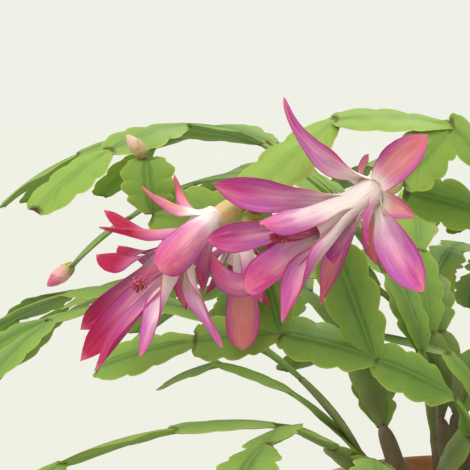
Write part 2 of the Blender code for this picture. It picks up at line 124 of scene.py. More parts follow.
# The stems that carry the large blooms follow joints chosen one by one: chain name, the chain and
# joint that it starts from, its joints, and the heading and tilt that each blade's face looks to.
BLOOM_STEM = {
    "trunk": (None, ((-14, -26, SOIL_TOP + GAP), (2, -40, 152), (12, -52, 187),
                     (12, -62, 223), (-4, -74, 254), (-28, -92, 279)),
              ((250, 20), (262, 25), (275, 25), (258, 40), (250, 45))),
    "to_left_bloom": ("trunk", ((-28, -92, 279), (-66, -92, 281), (-96.9, -116.9, 255.5)),
                      ((265, 68), (248, 30))),
    "to_right_bloom": ("trunk", ((-28, -92, 279), (-45.5, -103.3, 261.5)),
                       ((285, 20),)),
}
BUD_STEM = {
    "trunk": (None, ((-30, -12, SOIL_TOP + GAP), (-25, -34, 143), (-16, -62, 168),
                     (-25, -84, 186), (-53, -95, 200.5)),
              ((250, 35), (262, 40), (262, 45), (262, 40))),
    "upright": ("trunk", ((-53, -95, 200.5), (-67, -91, 239)), ((272, 8),)),
    "leftward": ("trunk", ((-53, -95, 200.5), (-84.5, -97, 209.5)), ((268, 45),)),
    "to_bud": ("leftward", ((-84.5, -97, 209.5), (-94, -91, 249), (-127.5, -96, 250), (-129.3, -98, 268.2)),
               ((262, 15), (268, 12), (262, 8))),
    "low_left": ("leftward", ((-84.5, -97, 209.5), (-113, -88, 206), (-147, -78, 195)),
                 ((265, 40), (262, 55))),
}
RIGHT_STEM = {
    "trunk": (None, ((24, -18, SOIL_TOP + GAP), (36, -28, 154), (44, -36, 190),
                     (33, -46, 226), (-4, -62, 244.5), (-41, -78, 256)),
              ((255, 20), (262, 20), (258, 30), (262, 40), (270, 28))),
}

# Blooms: a tube from its base (ovary) past the throat to the mouth, with tepals set along it.
THROAT_RADIUS = 4.1
TUBE_RADIUS = 3.5
MOUTH_RADIUS = 4.4
TEPAL_HALF_THICK = 0.45
# A tepal's base starts this clear of the tube, then is sunk towards it.
CLEARANCE = 0.35
SUNK = 0.15
# How far a bud or bloom stands off the tip that carries it.
STAND_OFF = 0.6
STIGMA_LOBES = 7
# Share of the way from the ovary to the mouth, and the radius there; then depth and radius inside the mouth.
TUBE_PROFILE = (
    (0.0, 2.3), (0.1, 2.9), (0.22, 3.4), (0.34, 3.3), (0.44, 2.95), (0.52, 3.1), (0.6, 3.5), (0.68, 3.5),
    (0.8, 3.2), (0.92, 3.4), (1.0, 3.8),
)
HOLLOW = ((0.0, 3.5), (1.5, 3.2), (5.0, 2.8), (9.0, 2.4))

RIGHT_BLOOM = {"base": (-46.5, -104.0, 260.7), "throat": (-55.7, -113.0, 258.7), "mouth": (-75.8, -129.0, 247.1)}
LEFT_BLOOM = {"base": (-97.4, -117.0, 255.1), "throat": (-109.0, -120.0, 249.2), "mouth": (-122.0, -124.0, 236.4)}

# Tepals, one row each. seat: 0 at the throat, 1 at the mouth. azimuth: round the tube, 0 on its upper side. open:
# angle from the tube's direction at the base. spread: the same for the whole tepal. curl: how much further the
# tip bends back. Then length, width and roll of the blade about its own line. Its look follows: form, warm
# (salmon), deep (dark red, partly painted shade where tepals overlap), pale (white reaching far out), radius of
# the hollow across the blade, ripple of its margins, share of its width, and further roll. Rows without a look
# have the plain one. One tepal folds over in the plane that the photo shows, and ends with its curve's points.
LOOK_AT = 8
SICKLE_AT = 16
PLAIN = ("spoon", 0.15, 0.1, 0.35, 9.0, 0.4, 1.0, 0)
RIGHT_TEPALS = (
    (0.0, 11, 40, 67, 42, 39.5, 9.5, 15, "slim", 0.0, 0.0, 0.6, 5.0, 0.3, 1.0, 35),
    (0.0, 38, 60, 76, 8, 22, 8, 0, "leaf", 0.85, 0.0, 0.5, 7.0, 0.4, 1.0, 20),
    (0.4, 40, 30, 39, 12, 42, 11, 40, "spoon", 0.0, 0.0, 0.45, 9.0, 0.9, 1.1, 0),
    (0.4, -22, 10, 15, 12, 39.5, 10.5, -20, "blunt", 0.0, 0.0, 1.0, 6.5, 0.7, 1.0, 0),
    (0.0, -57, 75, 99, 18, 30, 11, 0, "leaf", 0.7, 0.0, 0.5, 8.0, 0.5, 1.15, 0),
    (0.0, 65, 110, 144, 0, 17, 7, 0, "leaf", 0.6, 0.0, 0.4, 6.0, 0.2, 0.8, 0),
    (0.0, -107, 70, 77, -10, 17.5, 9, -20, "wedge", 0.7, 0.0, 0.85, 5.0, 0.1, 1.15, 0),
    (0.05, -138, 60, 70, 10, 34.5, 12.5, -45, "full", 0.0, 0.0, 0.6, 10.0, 0.6, 1.1, 0),
    (0.15, -113, 30, 38, 20, 22.5, 6, 0, "point", 0.0, 0.2, 0.1, 2.8, 0.2, 1.0, 0),
    (0.0, 168, 70, 80, 10, 22, 8.5, 0, "leaf", 0.95, 0.1, 0.3, 7.0, 0.2, 1.0, 0),
    (0.2, 152, 50, 62, 10, 36, 9, 0, "point", 0.7, 0.1, 0.35, 7.0, 0.2, 1.0, 0),
    (1.0, 59, 15, 28, 10, 31, 10.5, 30, "spoon", 0.0, 0.15, 0.3, 9.0, 0.5, 1.0, 0),
    (1.0, 141, 8, 13, 10, 27, 11, 0, "blunt", 0.0, 0.3, 0.1, 9.0, 0.5, 1.3, 12),
    (0.6, -142, 13, 19, 12, 44, 10.5, -30, "point", 0.0, 0.25, 0.8, 4.6, 0.7, 1.45, 0),
    (0.35, -174, 24, 31, 10, 18, 9, -10, "full", 0.0, 0.0, 0.6, 6.0, 0.5, 1.3, 0),
    (0.9, 100, 10, 20, 10, 16, 6.5, 0, "blunt", 0.0, 0.2, 0.2, 7.0, 0.4, 1.4, 0),
)
LEFT_TEPALS = (
    (0.0, -2, 55, 68, 25, 20.5, 7.5, -45, "slim", 0.75, 0.0, 0.6, 4.0, 0.3, 1.0, 0),
    (0.0, 55, 85, 106, 10, 21, 6.5, -40, "slim", 0.9, 0.6, 0.0, 4.0, 0.2, 1.0, 0),
    (0.6, 26, 50, 68, 10, 24, 7.5, -50, "full", 0.0, 1.5, -0.2, 5.0, 0.3, 1.0, 0),
    (0.4, 1, 35, 46, 10, 27, 6.5, -50, "slim", 0.3, 1.5, -0.2, 4.0, 0.2, 1.1, 0),
    (0.9, 60, 30, 56, 15, 25, 9, -20, "full", 0.1, 1.5, -0.3, 7.0, 0.6, 1.3, -50),
    (0.8, 71, 50, 70, 10, 24, 7, 0, "full", 0.2, 1.5, -0.3, 6.0, 0.4, 1.4, -45),
    (0.0, -77, 30, 25, -10, 26, 12.5, 0, "blunt", 0.35, 0.0, 0.2, 8.0, 0.2, 1.05, 0),
    (0.6, -157, 38, 62, 6, 31, 8, -45, "slim", 0.0, 0.0, 0.8, 4.0, 0.5, 1.3, 0),
    (0.0, 147, 40, 49, 5, 23.5, 7.5, 0, "leaf", 0.1, 0.15, 0.2, 7.0, 0.3, 1.05, 0),
    (0.4, 145, 40, 51, 5, 24.5, 8, 0, "blunt", 1.0, 0.15, 0.0, 7.0, 0.2, 1.4, 15),
    # These three tepals form an overlapping bundle. The dark red of their deep value is partly their own colour and
    # partly painted shade where they overlap.
    (1.0, 93, 16, 27, 0, 37, 9, 0, "leaf", 0.0, 0.75, 0.1, 6.0, 0.4, 1.3, 0),
    (1.0, 119, 3, 8, 2, 41, 9, 0, "leaf", 0.0, 0.95, 0.1, 6.0, 0.4, 1.25, 0),
    (1.0, 175, 0, 5, 2, 40, 10, 0, "leaf", 0.0, 0.7, 0.2, 6.5, 0.4, 1.2, 0),
    (0.8, -136, 15, 22, 5, 33.5, 8.5, -75, "channel", 0.0, 0.0, 1.1, 5.0, 0.5, 1.5, 12),
)
# The third bloom hangs behind the two large ones, and the rest are farther round the plant.
MIDDLE_BLOOM = {"base": (-93.8, -119.3, 251.9), "throat": (-98.4, -110.0, 241.5), "mouth": (-99.7, -108.0, 235.1)}
MIDDLE_TEPALS = (
    (0.0, -179, 40, 49, 30, 18.5, 7.5, 0, "leaf", 0.1, 0.1, 0.4, 4.5, 0.2, 1.0, 0),
    (1.0, 167, 5, 12, 4, 28, 11.5, 0, "blunt", 0.95, 0.15, 0.25, 9.0, 0.15, 1.05, 45),
    (1.0, 150, 0, 0, 0, 26, 8, 90, "leaf", 0.2, 0.0, 0.3, 8.0, 0.2, 1.0, 0,
     ((-95.1, -113.0, 235.5), (-87.2, -121.5, 227.5), (-106.4, -123.0, 223.1), (-107.7, -118.5, 239.6))),
    (0.0, 78, 35, 48, 10, 13, 6.5, 0, "leaf", 0.4, 0.8, 0.0, 6.0, 0.2, 1.0, 0),
    (1.0, 118, 22, 34, 10, 17, 7.5, 0, "leaf", 0.2, 0.7, 0.0, 7.0, 0.2, 1.0, 0),
    (1.0, 48, 8, 17, 5, 18, 8, 0),
    (0.0, -80, 30, 42, 10, 9, 6, 0),
    (0.0, 8, 40, 56, 18, 16, 7, 0),
    (1.0, -35, 6, 10, 4, 15, 7, 0),
)
# An open bloom's tepals seen round its tube: two whorls that spread and one that points ahead.
OPEN_TEPALS = (
    (0.0, 5, 62, 84, 24, 30, 9.5, 0),
    (0.0, -58, 66, 90, 22, 27, 9, 10),
    (0.0, 66, 66, 92, 20, 27, 9, -10),
    (0.0, 135, 60, 80, 18, 25, 9, 0),
    (0.0, -130, 62, 82, 18, 26, 9, 0),
    (0.9, -25, 26, 42, 22, 28, 10, 0),
    (0.9, 38, 24, 40, 22, 29, 10, 0),
    (0.9, 98, 18, 34, 20, 27, 9.5, 0),
    (0.9, 160, 14, 30, 18, 25, 9, 0),
    (0.9, -142, 16, 32, 18, 26, 9, 0),
    (0.9, -88, 20, 36, 20, 27, 9.5, 0),
)
# Half width along a tepal, as a share of its greatest half width, for each form of tepal.
FORMS = {
    "leaf": ((0, 0.56), (0.15, 0.68), (0.33, 0.87), (0.5, 0.99), (0.6, 1.0), (0.72, 0.92),
             (0.83, 0.7), (0.92, 0.38), (0.975, 0.14), (1.0, 0.02)),
    "slim": ((0, 0.75), (0.15, 0.95), (0.28, 1.0), (0.42, 0.9), (0.55, 0.62), (0.68, 0.4),
             (0.8, 0.28), (0.92, 0.19), (0.975, 0.1), (1.0, 0.02)),
    "blunt": ((0, 0.6), (0.15, 0.74), (0.35, 0.92), (0.55, 1.0), (0.72, 1.0), (0.83, 0.88),
              (0.91, 0.68), (0.965, 0.42), (0.99, 0.2), (1.0, 0.04)),
    "wedge": ((0, 0.95), (0.12, 1.0), (0.3, 0.98), (0.5, 0.82), (0.7, 0.55), (0.85, 0.3),
              (0.95, 0.12), (1.0, 0.02)),
    "spoon": ((0, 0.55), (0.2, 0.62), (0.42, 0.8), (0.6, 0.97), (0.71, 1.0), (0.81, 0.86),
              (0.89, 0.6), (0.95, 0.32), (0.985, 0.13), (1.0, 0.02)),
    "full": ((0, 0.52), (0.12, 0.68), (0.28, 0.9), (0.42, 1.0), (0.6, 0.99), (0.74, 0.9),
             (0.85, 0.68), (0.93, 0.38), (0.98, 0.14), (1.0, 0.02)),
    "channel": ((0, 0.85), (0.15, 0.98), (0.3, 1.0), (0.45, 0.92), (0.6, 0.74), (0.74, 0.52),
                (0.86, 0.34), (0.94, 0.19), (0.98, 0.09), (1.0, 0.02)),
    "point": ((0, 0.5), (0.2, 0.72), (0.4, 0.95), (0.52, 1.0), (0.64, 0.9), (0.76, 0.62),
              (0.86, 0.36), (0.94, 0.18), (0.98, 0.08), (1.0, 0.02)),
}
# name: stem and chain whose tip it hangs from, and how far it turns downwards
SIDE_BLOOMS = {
    "bloom_side": ("stem_09", 6, 0.55),
    "bloom_back": ("stem_06", 5, 0.7),
}
# The bud in the photo: base, tip and greatest radius. The others: stem and chain, length and greatest radius.
LEFT_BUD = ((-129.8, -98.2, 269.1), (-135.8, -100.0, 276.4), 2.106)
BUDS = {
    "bud_back": ("stem_03", 6, 17.0, 3.4),
    "bud_side": ("stem_01", 6, 12.0, 3.0),
    "bud_low": ("stem_12", 5, 14.0, 3.2),
}
# Share of the way up a bud, and share of its greatest radius there.
BUD_PROFILE = ((0, 0.42), (0.06, 0.6), (0.2, 0.85), (0.45, 1.0), (0.7, 0.86), (0.88, 0.5), (0.97, 0.2), (1, 0.05))
BUD_SCALES = 7
SCALE_THICK = 0.14


# ---- the plan of the plant


def wall_radius(height):
    """The pot's outer radius below its collar."""
    top = POT_RIM_RADIUS - COLLAR_STEP
    return POT_BASE_RADIUS + (top - POT_BASE_RADIUS) * height / (POT_HEIGHT - COLLAR_HEIGHT)


def inner_radius(height):
    """The inner wall, parallel to the outer one below the collar and carried on to the rim."""
    return wall_radius(height) - POT_WALL


def heading_vector(heading, tilt):
    a, b = math.radians(heading), math.radians(tilt)
    return Vector((math.cos(b) * math.cos(a), math.cos(b) * math.sin(a), math.sin(b)))


def chain_widths(count, rooted):
    """Blade widths along a chain. A rooted one begins with narrow woody segments."""
    woody = WOODY_WIDTHS[:count] if rooted else ()
    return list(woody) + [BLADE_WIDTH] * (count - len(woody))


def grow_chain(start, heading, climbs, rng, rooted=False):
    """A chain of segments from start: its joints, the face direction of each blade and the blades' widths."""
    points, faces = [start], []
    for climb in climbs:
        heading += rng.uniform(-8, 8)
        along = heading_vector(heading, climb + rng.uniform(-4, 4))
        points.append(points[-1] + along * SEGMENT * rng.uniform(0.93, 1.07))
        level = heading_vector(heading, climb + 90)
        faces.append(Quaternion(along, math.radians(rng.uniform(-22, 22))) @ level)
    return {"points": points, "faces": faces, "widths": chain_widths(len(climbs), rooted)}


def chain_end(chain):
    """A chain's tip, and the direction in which it ends."""
    tip, before = chain["points"][-1], chain["points"][-2]
    return tip, (tip - before).normalized()


def fork(parent, heading, climbs, turn, rng):
    """Two chains from the tip of parent, turned to either side."""
    tip, along = chain_end(parent)
    side = along.cross(parent["faces"][-1]).normalized()
    made = []
    for hand in (-1, 1):
        start = tip - along * FORK_INSET - side * hand * FORK_OFFSET
        made.append((grow_chain(start, heading + hand * turn, climbs, rng), heading + hand * turn))
    return made


def grow_stem(tier, heading, seed):
    """All chains of a stem that forks twice and has one side shoot."""
    rng = random.Random(seed)
    first, second, third = TIERS[tier]
    a = math.radians(heading)
    radius = ROOT_RADIUS[tier]
    root = Vector((radius * math.cos(a), radius * math.sin(a), SOIL_TOP + GAP))
    trunk = grow_chain(root, heading, first, rng, rooted=True)
    chains = [trunk]
    for limb, way in fork(trunk, heading, second, FIRST_FORK, rng):
        chains.append(limb)
        for twig, _ in fork(limb, way, third, SECOND_FORK, rng):
            chains.append(twig)
    joint, turn, climbs = SHOOTS[tier]
    chains.append(grow_chain(trunk["points"][joint] - Vector((0, 0, FORK_INSET)), heading + turn, climbs, rng))
    return chains


def placed_stem(table):
    """The chains of a stem whose joints are given."""
    chains = []
    for parent, points, looks in table.values():
        joints = [Vector(p) for p in points]
        if parent:
            joints[0] = joints[0] - (joints[1] - joints[0]).normalized() * FORK_INSET
        faces = [heading_vector(*look) for look in looks]
        chains.append({"points": joints, "faces": faces, "widths": chain_widths(len(faces), parent is None)})
    return chains


def tube_frame(bloom):
    """The tube's direction, with its upward and sideways directions."""
    along = (Vector(bloom["mouth"]) - Vector(bloom["throat"])).normalized()
    up = (Vector((0, 0, 1)) - along * along.z).normalized()
    return along, up, along.cross(up)


def tube_radius(seat):
    """The tube's radius at a share of the way from throat to mouth."""
    if seat < 0.4:
        return THROAT_RADIUS + (TUBE_RADIUS - THROAT_RADIUS) * seat / 0.4
    return TUBE_RADIUS + (MOUTH_RADIUS - TUBE_RADIUS) * (seat - 0.4) / 0.6


def tepal_line(bloom, row):
    """A tepal's centre line as a cubic curve: its four control points, with the plane's two directions."""
    if len(row) > SICKLE_AT:
        return tuple(Vector(point) for point in row[SICKLE_AT]), Vector((0, 0, -1)), Vector((1, 0, 0))
    seat, azimuth, opening, spread, curl, length = row[:6]
    clearance = CLEARANCE + TEPAL_HALF_THICK * math.cos(math.radians(opening)) - SUNK
    along, up, side = tube_frame(bloom)
    a = math.radians(azimuth)
    outward = up * math.cos(a) + side * math.sin(a)

    def lean(angle):
        return along * math.cos(math.radians(angle)) + outward * math.sin(math.radians(angle))

    centre = Vector(bloom["throat"]).lerp(Vector(bloom["mouth"]), seat)
    start = centre + outward * (tube_radius(seat) + clearance)
    tip = start + lean(spread) * length
    points = (start, start + lean(opening) * length * 0.36, tip - lean(spread + curl) * length * 0.33, tip)
    return points, along, outward


def curve_at(points, t):
    """Place and direction on a cubic curve."""
    a, b, c, d = points
    s = 1 - t
    place = a * s**3 + b * 3 * s * s * t + c * 3 * s * t * t + d * t**3
    slope = (b - a) * s * s + (c - b) * 2 * s * t + (d - c) * t * t
    return place, slope.normalized()


def hung_bloom(chain, droop):
    """The frame of a bloom that hangs from a chain's tip."""
    tip, along = chain_end(chain)
    down = Vector((0, 0, -1))
    first = along.lerp(down, droop * 0.25).normalized()
    second = along.lerp(down, droop).normalized()
    base = tip + along * STAND_OFF
    throat = base + first * 12.0
    return {"base": base, "throat": throat, "mouth": throat + second * 20.0}


# ---- meshes


def unit(v):
    """Vectors along the last axis made one long."""
    return v / np.maximum(np.linalg.norm(v, axis=-1, keepdims=True), 1e-12)


def smooth(low, high, x):
    t = np.clip((np.asarray(x, float) - low) / (high - low), 0, 1)
    return t * t * (3 - 2 * t)


def turns(count):
    """Angles that share out a full turn."""
    return np.linspace(0, 2 * np.pi, count, endpoint=False)


def circle(up, side, angle):
    """Directions at each angle round a line, from its upward and sideways directions."""
    return up * np.cos(angle)[..., None] + side * np.sin(angle)[..., None]


def grid(rows, columns):
    """Texture coordinates: one value for each row, and one for each column."""
    return np.stack(np.broadcast_arrays(rows[:, None], columns), axis=-1)


def relaxed(path, times):
    """The path with its corners smoothed away."""
    for _ in range(times):
        path[1:-1] = path[1:-1] * 0.5 + (path[:-2] + path[2:]) * 0.25
    return path


def ends_of(bloom, *keys):
    return (np.array(bloom[key], float) for key in keys)


def new_object(name, data):
    obj = bpy.data.objects.new(name, data)
    bpy.context.scene.collection.objects.link(obj)
    return obj


class Shape:
    """Collects vertices, faces, texture coordinates and vertex values of one piece."""

    def __init__(self, *values):
        self.points, self.faces, self.uvs, self.slots = [], [], [], []
        self.values = {name: [] for name in values}
        self.count = 0

    def add(self, points, faces, uvs, slots=0, **values):
        points = np.asarray(points, float).reshape(-1, 3)
        self.points.append(points)
        self.uvs.append(np.asarray(uvs, float).reshape(-1, 2))
        self.faces += [tuple(int(i) + self.count for i in face) for face in faces]
        self.slots += [slots] * len(faces) if np.isscalar(slots) else list(slots)
        for name in self.values:
            value = values.get(name, 0.0)
            self.values[name].append(np.broadcast_to(np.asarray(value, float), (len(points),)))
        self.count += len(points)

    def finish(self, node, made, materials, sharp=55):
        """Makes the piece that stands for a CAD node, named after how it was made."""
        mesh = bpy.data.meshes.new(f"{node}_{made}")
        mesh.from_pydata((np.concatenate(self.points) * MM).tolist(), [], self.faces)
        for material in materials:
            mesh.materials.append(material)
        mesh.polygons.foreach_set("material_index", self.slots)
        layer = mesh.uv_layers.new(name="Surface")
        loops = np.empty(len(mesh.loops), np.int32)
        mesh.loops.foreach_get("vertex_index", loops)
        layer.data.foreach_set("uv", np.concatenate(self.uvs)[loops].ravel())
        for key, parts in self.values.items():
            mesh.attributes.new(key, "FLOAT", "POINT").data.foreach_set("value", np.concatenate(parts))
        mesh.validate()
        mesh.shade_smooth()
        mesh.set_sharp_from_angle(angle=math.radians(sharp))
        obj = new_object(f"{node}_{made}", mesh)
        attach(obj, "root")
        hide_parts(node)
        return obj


def ring_faces(rings, sides):
    """Quads between rings of points, with a cap at each end."""
    faces = []
    for i in range(rings - 1):
        for j in range(sides):
            k = (j + 1) % sides
            faces.append((i * sides + j, i * sides + k, (i + 1) * sides + k, (i + 1) * sides + j))
    return [*faces, tuple(range(sides - 1, -1, -1)), tuple((rings - 1) * sides + j for j in range(sides))]


def turned_faces(rings, sides, first=0):
    """Quads between rings that follow a profile turned about +Z, from the ring that starts at point first."""
    faces = []
    for low in range(first, first + (rings - 1) * sides, sides):
        for j in range(sides):
            k = (j + 1) % sides
            faces.append((low + j, low + sides + j, low + sides + k, low + k))
    return faces


# ---- segments


def scallop(along, shift, depth):
    """The margin's lobes: each swells towards the tip and ends in a sharp notch."""
    start, end = 0.1 + shift, 0.93 + shift * 0.5
    t = np.clip((along - start) / (end - start), 0, 0.9999) * LOBES
    lobe = np.sin(np.pi * (t - np.floor(t)) ** 1.45) ** 0.5
    inside = smooth(start - 0.02, start + 0.1, along) * (1 - smooth(end - 0.005, end + 0.03, along))
    return 1 - depth * (1 - lobe) * inside


def add_blade(shape, a, b, normal, first_normal, width, rng, age, wood, youth, fine):
    """One segment from joint a to joint b, facing along normal."""
    stations, across = (44, 13) if fine else (24, 9)
    a, b, normal, first_normal = (np.array(v, float) for v in (a, b, normal, first_normal))
    length = np.linalg.norm(b - a)
    along = (b - a) / length
    u = np.linspace(0, 1, stations)
    blend = smooth(0, 0.25, u)[:, None]
    up = unit(first_normal * (1 - blend) + normal * blend)
    up = unit(up - along * (up @ along)[:, None])
    side = np.cross(along, up)
    half = np.interp(u, *zip(*ENVELOPE)) * width / 2
    lobed = 1 - wood
    left = half * scallop(u, rng.uniform(-0.03, 0.03), lobed * rng.uniform(0.17, 0.26))
    right = half * scallop(u, rng.uniform(-0.03, 0.03), lobed * rng.uniform(0.17, 0.26))
    v = np.linspace(-1, 1, across)
    v = np.sign(v) * np.abs(v) ** 0.85
    arch = np.sin(np.pi * u)[:, None]
    bow = BOW * 4 * u * (1 - u)
    cup = rng.uniform(0.2, 1.1) * lobed
    wave = rng.uniform(0.2, 0.55) * lobed
    phase, waves = rng.uniform(0, 6.3), rng.uniform(1.0, 1.8)
    points, uvs = [], []
    for top in (1, -1):
        vs = v if top == 1 else v[::-1][1:-1]
        reach = np.where(vs < 0, left[:, None], right[:, None]) * vs
        thick = BLADE_EDGE + (0.95 + 0.75 * wood - BLADE_EDGE) * (1 - np.abs(vs) ** 2.2)
        rib = (0.55 if top == -1 else 0.4) * np.exp(-((vs / 0.13) ** 2)) * (1 - 0.6 * wood)
        height = top * (thick + rib) * (0.75 + 0.25 * arch)
        height = height + bow[:, None] - cup * vs**2 * arch
        height += wave * np.sin(phase + 6.28 * waves * u)[:, None] * (np.abs(vs) ** 2 * np.sign(vs))
        ahead = length * 0.05 * np.abs(vs) ** 1.6 * smooth(0.82, 1.0, u)[:, None] * lobed
        points.append(
            a + along * (u * length)[:, None, None] + along * ahead[..., None]
            + side[:, None] * reach[..., None] + up[:, None] * height[..., None]
        )
        uvs.append(grid(u, (vs + 1) / 2))
    points = np.concatenate(points, axis=1)
    sides = points.shape[1]
    shape.add(
        points, ring_faces(stations, sides), np.concatenate(uvs, axis=1), age=age,
        wood=wood * (1 - 0.3 * np.repeat(u, sides)), tone=youth * 0.8 + (1 - youth * 0.8) * rng.random(),
    )


def add_spike(shape, base, tip, radius):
    """A thin cone, for bristles."""
    along = unit(tip - base)
    side = unit(np.cross(along, [0.3, 0.2, 0.9]))
    other = np.cross(along, side)
    ring = [base + radius * (side * math.cos(t) + other * math.sin(t)) for t in (0, 2.09, 4.19)]
    shape.add(ring + [tip], [(2, 1, 0), (0, 1, 3), (1, 2, 3), (2, 0, 3)], [(0.5, 0.5)] * 4, slots=1)


def add_tuft(shape, chain, rng, count):
    """The bristly areole at a chain's tip."""
    tip, before = (np.array(p, float) for p in (chain["points"][-1], chain["points"][-2]))
    along = unit(tip - before)
    face = np.array(chain["faces"][-1], float)
    side = unit(np.cross(along, face))
    for _ in range(count):
        out = unit(along + side * rng.uniform(-0.9, 0.9) + face * rng.uniform(-0.5, 0.5))
        base = tip + side * rng.uniform(-1.8, 1.8) - along * 0.5
        add_spike(shape, base, base + out * rng.uniform(1.0, 2.0), BRISTLE_RADIUS)


def make_stem(name, chains, materials, fine=False, youth=0.0):
    shape = Shape("age", "wood", "tone")
    rng = random.Random(name)
    for index, chain in enumerate(chains):
        points = chain["points"]
        for i, (a, b, face, width) in enumerate(zip(points, points[1:], chain["faces"], chain["widths"])):
            along = (b - a).normalized()
            normal = (face - along * face.dot(along)).normalized()
            if i == 0:
                before = normal
            wood, age = 0.0, max(0.0, 0.5 - 0.12 * i - (0.1 if index > 2 else 0))
            if index == 0:
                wood, age = TRUNK_AGEING[min(i, 3)]
            between = (normal + before).normalized()
            add_blade(shape, a, b, normal, between, width, rng, age * (1 - youth), wood, youth, fine)
            before = normal
        add_tuft(shape, chain, rng, 7 if fine else 4)
    shape.finish(name, "grown", materials)


# ---- blooms


def sheet_faces(rows, cols, flip):
    """Faces of a thin sheet whose second layer lies behind the first, and the material slot of each."""
    faces, slots = [], []

    def quad(slot, *corners):
        points = [layer * rows * cols + i * cols + j for layer, i, j in corners]
        faces.append(tuple(reversed(points)) if flip else tuple(points))
        slots.append(slot)

    for i in range(rows - 1):
        for j in range(cols - 1):
            quad(0, (0, i, j), (0, i + 1, j), (0, i + 1, j + 1), (0, i, j + 1))
            quad(1, (1, i, j), (1, i, j + 1), (1, i + 1, j + 1), (1, i + 1, j))
        quad(0, (0, i, 0), (1, i, 0), (1, i + 1, 0), (0, i + 1, 0))
        quad(0, (0, i + 1, cols - 1), (1, i + 1, cols - 1), (1, i, cols - 1), (0, i, cols - 1))
    for j in range(cols - 1):
        quad(0, (0, 0, j + 1), (1, 0, j + 1), (1, 0, j), (0, 0, j))
        quad(0, (0, rows - 1, j), (1, rows - 1, j), (1, rows - 1, j + 1), (0, rows - 1, j + 1))
    return faces, slots


def tepal_path(bloom, row, gap, length, fine):
    """A petal's centre line up its tube and out along its curve, with each point's share of its length."""
    line, along, outward = tepal_line(bloom, row)
    throat, mouth = ends_of(bloom, "throat", "mouth")
    tube, seat = np.linalg.norm(mouth - throat), row[0]
    sickle = len(row) > SICKLE_AT
    inner_whorl = seat > 0.25 and not sickle
    hug = seat * tube + 1.5 if inner_whorl else 4.5
    t = np.linspace(0, 1, 36 if fine else 18)
    behind = np.linspace(hug, 0, max(5, round(hug / 1.4)) + 1)[:-1]
    back = []
    for step in behind:
        share = seat - step / tube
        radius = tube_radius(max(share, 0)) + gap - 0.5 * max(0.0, -share * tube)
        back.append(throat + (mouth - throat) * share + np.array(outward) * radius)
    if sickle:
        start = np.array(line[0])
        back = [start + unit(start - np.array(line[1])) * step * 0.6 for step in behind]
    path = relaxed(np.array(back + [np.array(curve_at(line, float(k))[0]) for k in t]), 5)
    return path, np.concatenate([-behind / length, t]), np.array(outward.cross(along)), inner_whorl


def add_tepal(shape, bloom, row, rng, layer=0, fine=True):
    """A petal: a thin curved blade whose base lies on the tube, higher on it by its layer."""
    form, warm, deep, pale, cup, ripple, wider, turned = row[LOOK_AT:SICKLE_AT] or PLAIN
    length, width, roll = row[5], row[6] * wider, row[7] + turned
    path, grown, across, inner_whorl = tepal_path(bloom, row, 0.25 + 0.1 * layer, length, fine)
    slope = unit(np.gradient(path, axis=0))
    normal = unit(np.cross(across, slope))
    turn = np.radians(roll) * (smooth(0.0, 0.65, grown) if len(row) <= SICKLE_AT else grown * 0 + 1)[:, None]
    side = np.cross(slope, normal)
    normal, side = (v * np.cos(turn) + np.cross(slope, v) * np.sin(turn) for v in (normal, side))
    half = np.interp(grown, *zip(*FORMS[form])) * width / 2
    half = half + ((4.7 if inner_whorl else 3.1) - half) * (1 - smooth(-0.02, 0.22, grown))
    curve = np.interp(grown, (-0.3, 0.0, 0.28, 0.6, 1.0), (4.4, 4.7, cup * 0.9, cup, cup * 0.8))
    v = np.linspace(-1, 1, 17 if fine else 9)
    angle = np.clip(v * (half / curve)[:, None], -2.2, 2.2)
    free = smooth(0.08, 0.45, grown)[:, None]
    wave = np.sin(rng.uniform(0, 6.3) + 8 * grown + 2.0 * np.sin(4.5 * grown))[:, None]
    other = np.sin(rng.uniform(0, 6.3) + 10.5 * grown)[:, None]
    lift = curve[:, None] * (1 - np.cos(angle)) + ripple * free * np.abs(v) ** 2.2 * np.where(v > 0, wave, other)
    pleat = 0.09 * np.cos(v * 14 + rng.uniform(0, 6.3)) * (1 - np.abs(v) ** 3)
    crease = -0.4 * np.exp(-((v / 0.15) ** 2))
    lift = lift + (pleat + crease) * (smooth(-0.1, 0.2, grown) * (1 - smooth(0.75, 1, grown)))[:, None]
    inner = (
        path[:, None] + side[:, None] * (curve[:, None] * np.sin(angle))[..., None]
        + normal[:, None] * lift[..., None]
    )
    facing = np.cross(np.gradient(inner, axis=0), np.gradient(inner, axis=1))
    flip = (facing * normal[:, None]).sum() < 0
    facing = unit(facing)
    facing *= np.sign((facing * normal[:, None]).sum(axis=-1, keepdims=True))
    thick = (0.42 - 0.26 * np.abs(v) ** 2)[:, None] * (1 - 0.4 * smooth(0.8, 1, grown))[:, None, None]
    uv = grid((np.maximum(grown, -0.35) + 0.35) / 1.35, (v + 1) / 2)
    faces, slots = sheet_faces(*inner.shape[:2], flip)
    shape.add([inner, inner - facing * thick], faces, [uv, uv], slots, warm=warm, deep=deep, pale=pale)


